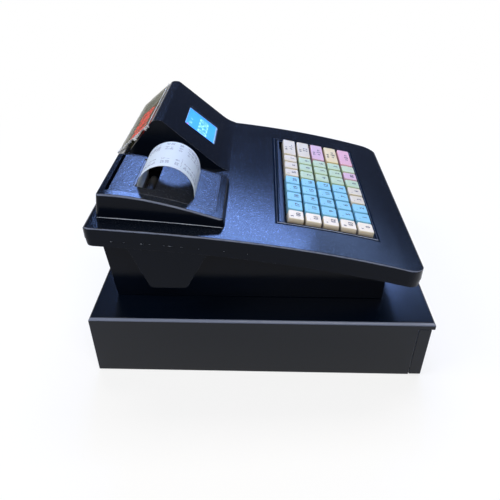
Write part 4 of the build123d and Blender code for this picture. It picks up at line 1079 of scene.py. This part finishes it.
# red digits on a lit plane behind the smoked cover
def makeCustomerDigits():
    axes, low, high = slopePlane()
    top = high[1]
    near, far = customer["digitSpan"]
    levelHigh, levelLow = customer["digitLevel"]
    pitch = (far - near) / len(customer["digits"])
    start, share = customer["digitShares"]
    bars = digitBars(customer["digits"], -far + pitch * start, top - levelLow, pitch * share,
                     levelLow - levelHigh, pitch, customer["digitStroke"], customer["slant"])
    behind = high[2] - customer["sheet"] - customer["behind"]
    side, rise = customer["panelMargin"]
    parts = [barPart(bars, behind + customer["digitLift"], customer["digitDepth"], 0),
             boxPart((-far - side, top - levelLow - rise, behind - customer["panelDepth"]),
                     (-near + side, top - levelHigh + rise, behind), 1)]
    addPiece("customerDigits", meshFrom("customerDigits", parts, axes), "customer_display",
             ["ledRed", "ledFace"])


# folds of a slack film: a sum of waves at unlike angles, each weaker than the last, from -1 to 1
def wrinkles(u, v):
    return sum(np.sin(a * u + b * v + c) / (1 + k * film["weaken"])
               for k, (a, b, c) in enumerate(film["waves"])) / film["waveSum"]


def sumOfSines(x, waves):
    return sum(size * np.sin(x * often + phase) for size, often, phase in waves)


# a sheet given by its outer side, with its thickness below it
def sheetPart(grid, thickness, slot):
    outer = grid.reshape(-1, 3)
    points = np.concatenate([outer, outer - np.array([0.0, 0.0, thickness])])
    return points, sheetFaces(*grid.shape[:2]), slot, True


# over the slope w = lift + wrinkle * wrinkles(u, v), wider towards the foot by the wall's splay
def filmSheet(u0, u1, top, level):
    columns, rows = film["steps"]
    u, v = np.meshgrid(np.linspace(u0, u1, columns), np.linspace(top - film["foot"], top - film["top"], rows))
    lean = (top - v) / film["foot"] * film["splay"]
    u = u + lean * (u - u0) / (u1 - u0)
    grid = np.stack([u, v, level + film["wrinkle"] * wrinkles(u, v)], -1)
    return sheetPart(grid, film["thickness"], 0)


# a rippled strip along the ridge
def filmHem(u0, u1, top, level):
    columns, rows = film["hemSteps"]
    u, v = np.meshgrid(np.linspace(u0, u1, columns), np.linspace(-film["hemWidth"], 0, rows))
    ripple = sumOfSines(u, film["ripples"])
    v = v + top - film["top"] + film["hemRise"]
    grid = np.stack([u, v + ripple, level + film["hemLift"] + ripple], -1)
    return sheetPart(grid, film["hemThickness"], 1)


# the torn edge: its reach over the near wall, and its drop, follow a sum of sines down the slope
def filmRag(u1, top, level):
    steps, across = film["ragSteps"]
    down = np.linspace(film["top"], film["foot"], steps)[:, None]
    over = np.linspace(0, 1, across)
    rag = film["tearLevel"] + sumOfSines(down, film["tears"])
    edge = u1 + down / film["foot"] * film["splay"]
    crumple = sum(size * np.sin(down * along + over * sideways) for size, along, sideways in film["crumples"])
    reach = over * film["ragWidth"] * film["ragShare"] * np.clip(rag, *film["ragReach"])
    drop = film["ragDrop"] * over ** 2 * np.clip(rag, *film["ragFall"])
    u = edge - film["ragLap"] + reach + crumple * film["crumpleShare"]
    w = level + film["ragLift"] + crumple - drop
    grid = np.stack([u, np.broadcast_to(top - down, u.shape), w], -1)[::-1]
    return sheetPart(grid, film["ragThickness"], 1)


def makeFilm():
    axes, low, high = slopePlane()
    far, near = film["margins"]
    u0, u1, top, level = low[0] + far, high[0] - near, high[1], high[2] + film["lift"]
    parts = [filmSheet(u0, u1, top, level), filmHem(u0, u1, top, level), filmRag(u1, top, level)]
    addPiece("customerFilm", meshFrom("customerFilm", parts, axes), "customer_window",
             ["wornFilm", "filmEdge"])


makeCustomerDigits()
makeFilm()
print("displays lit")
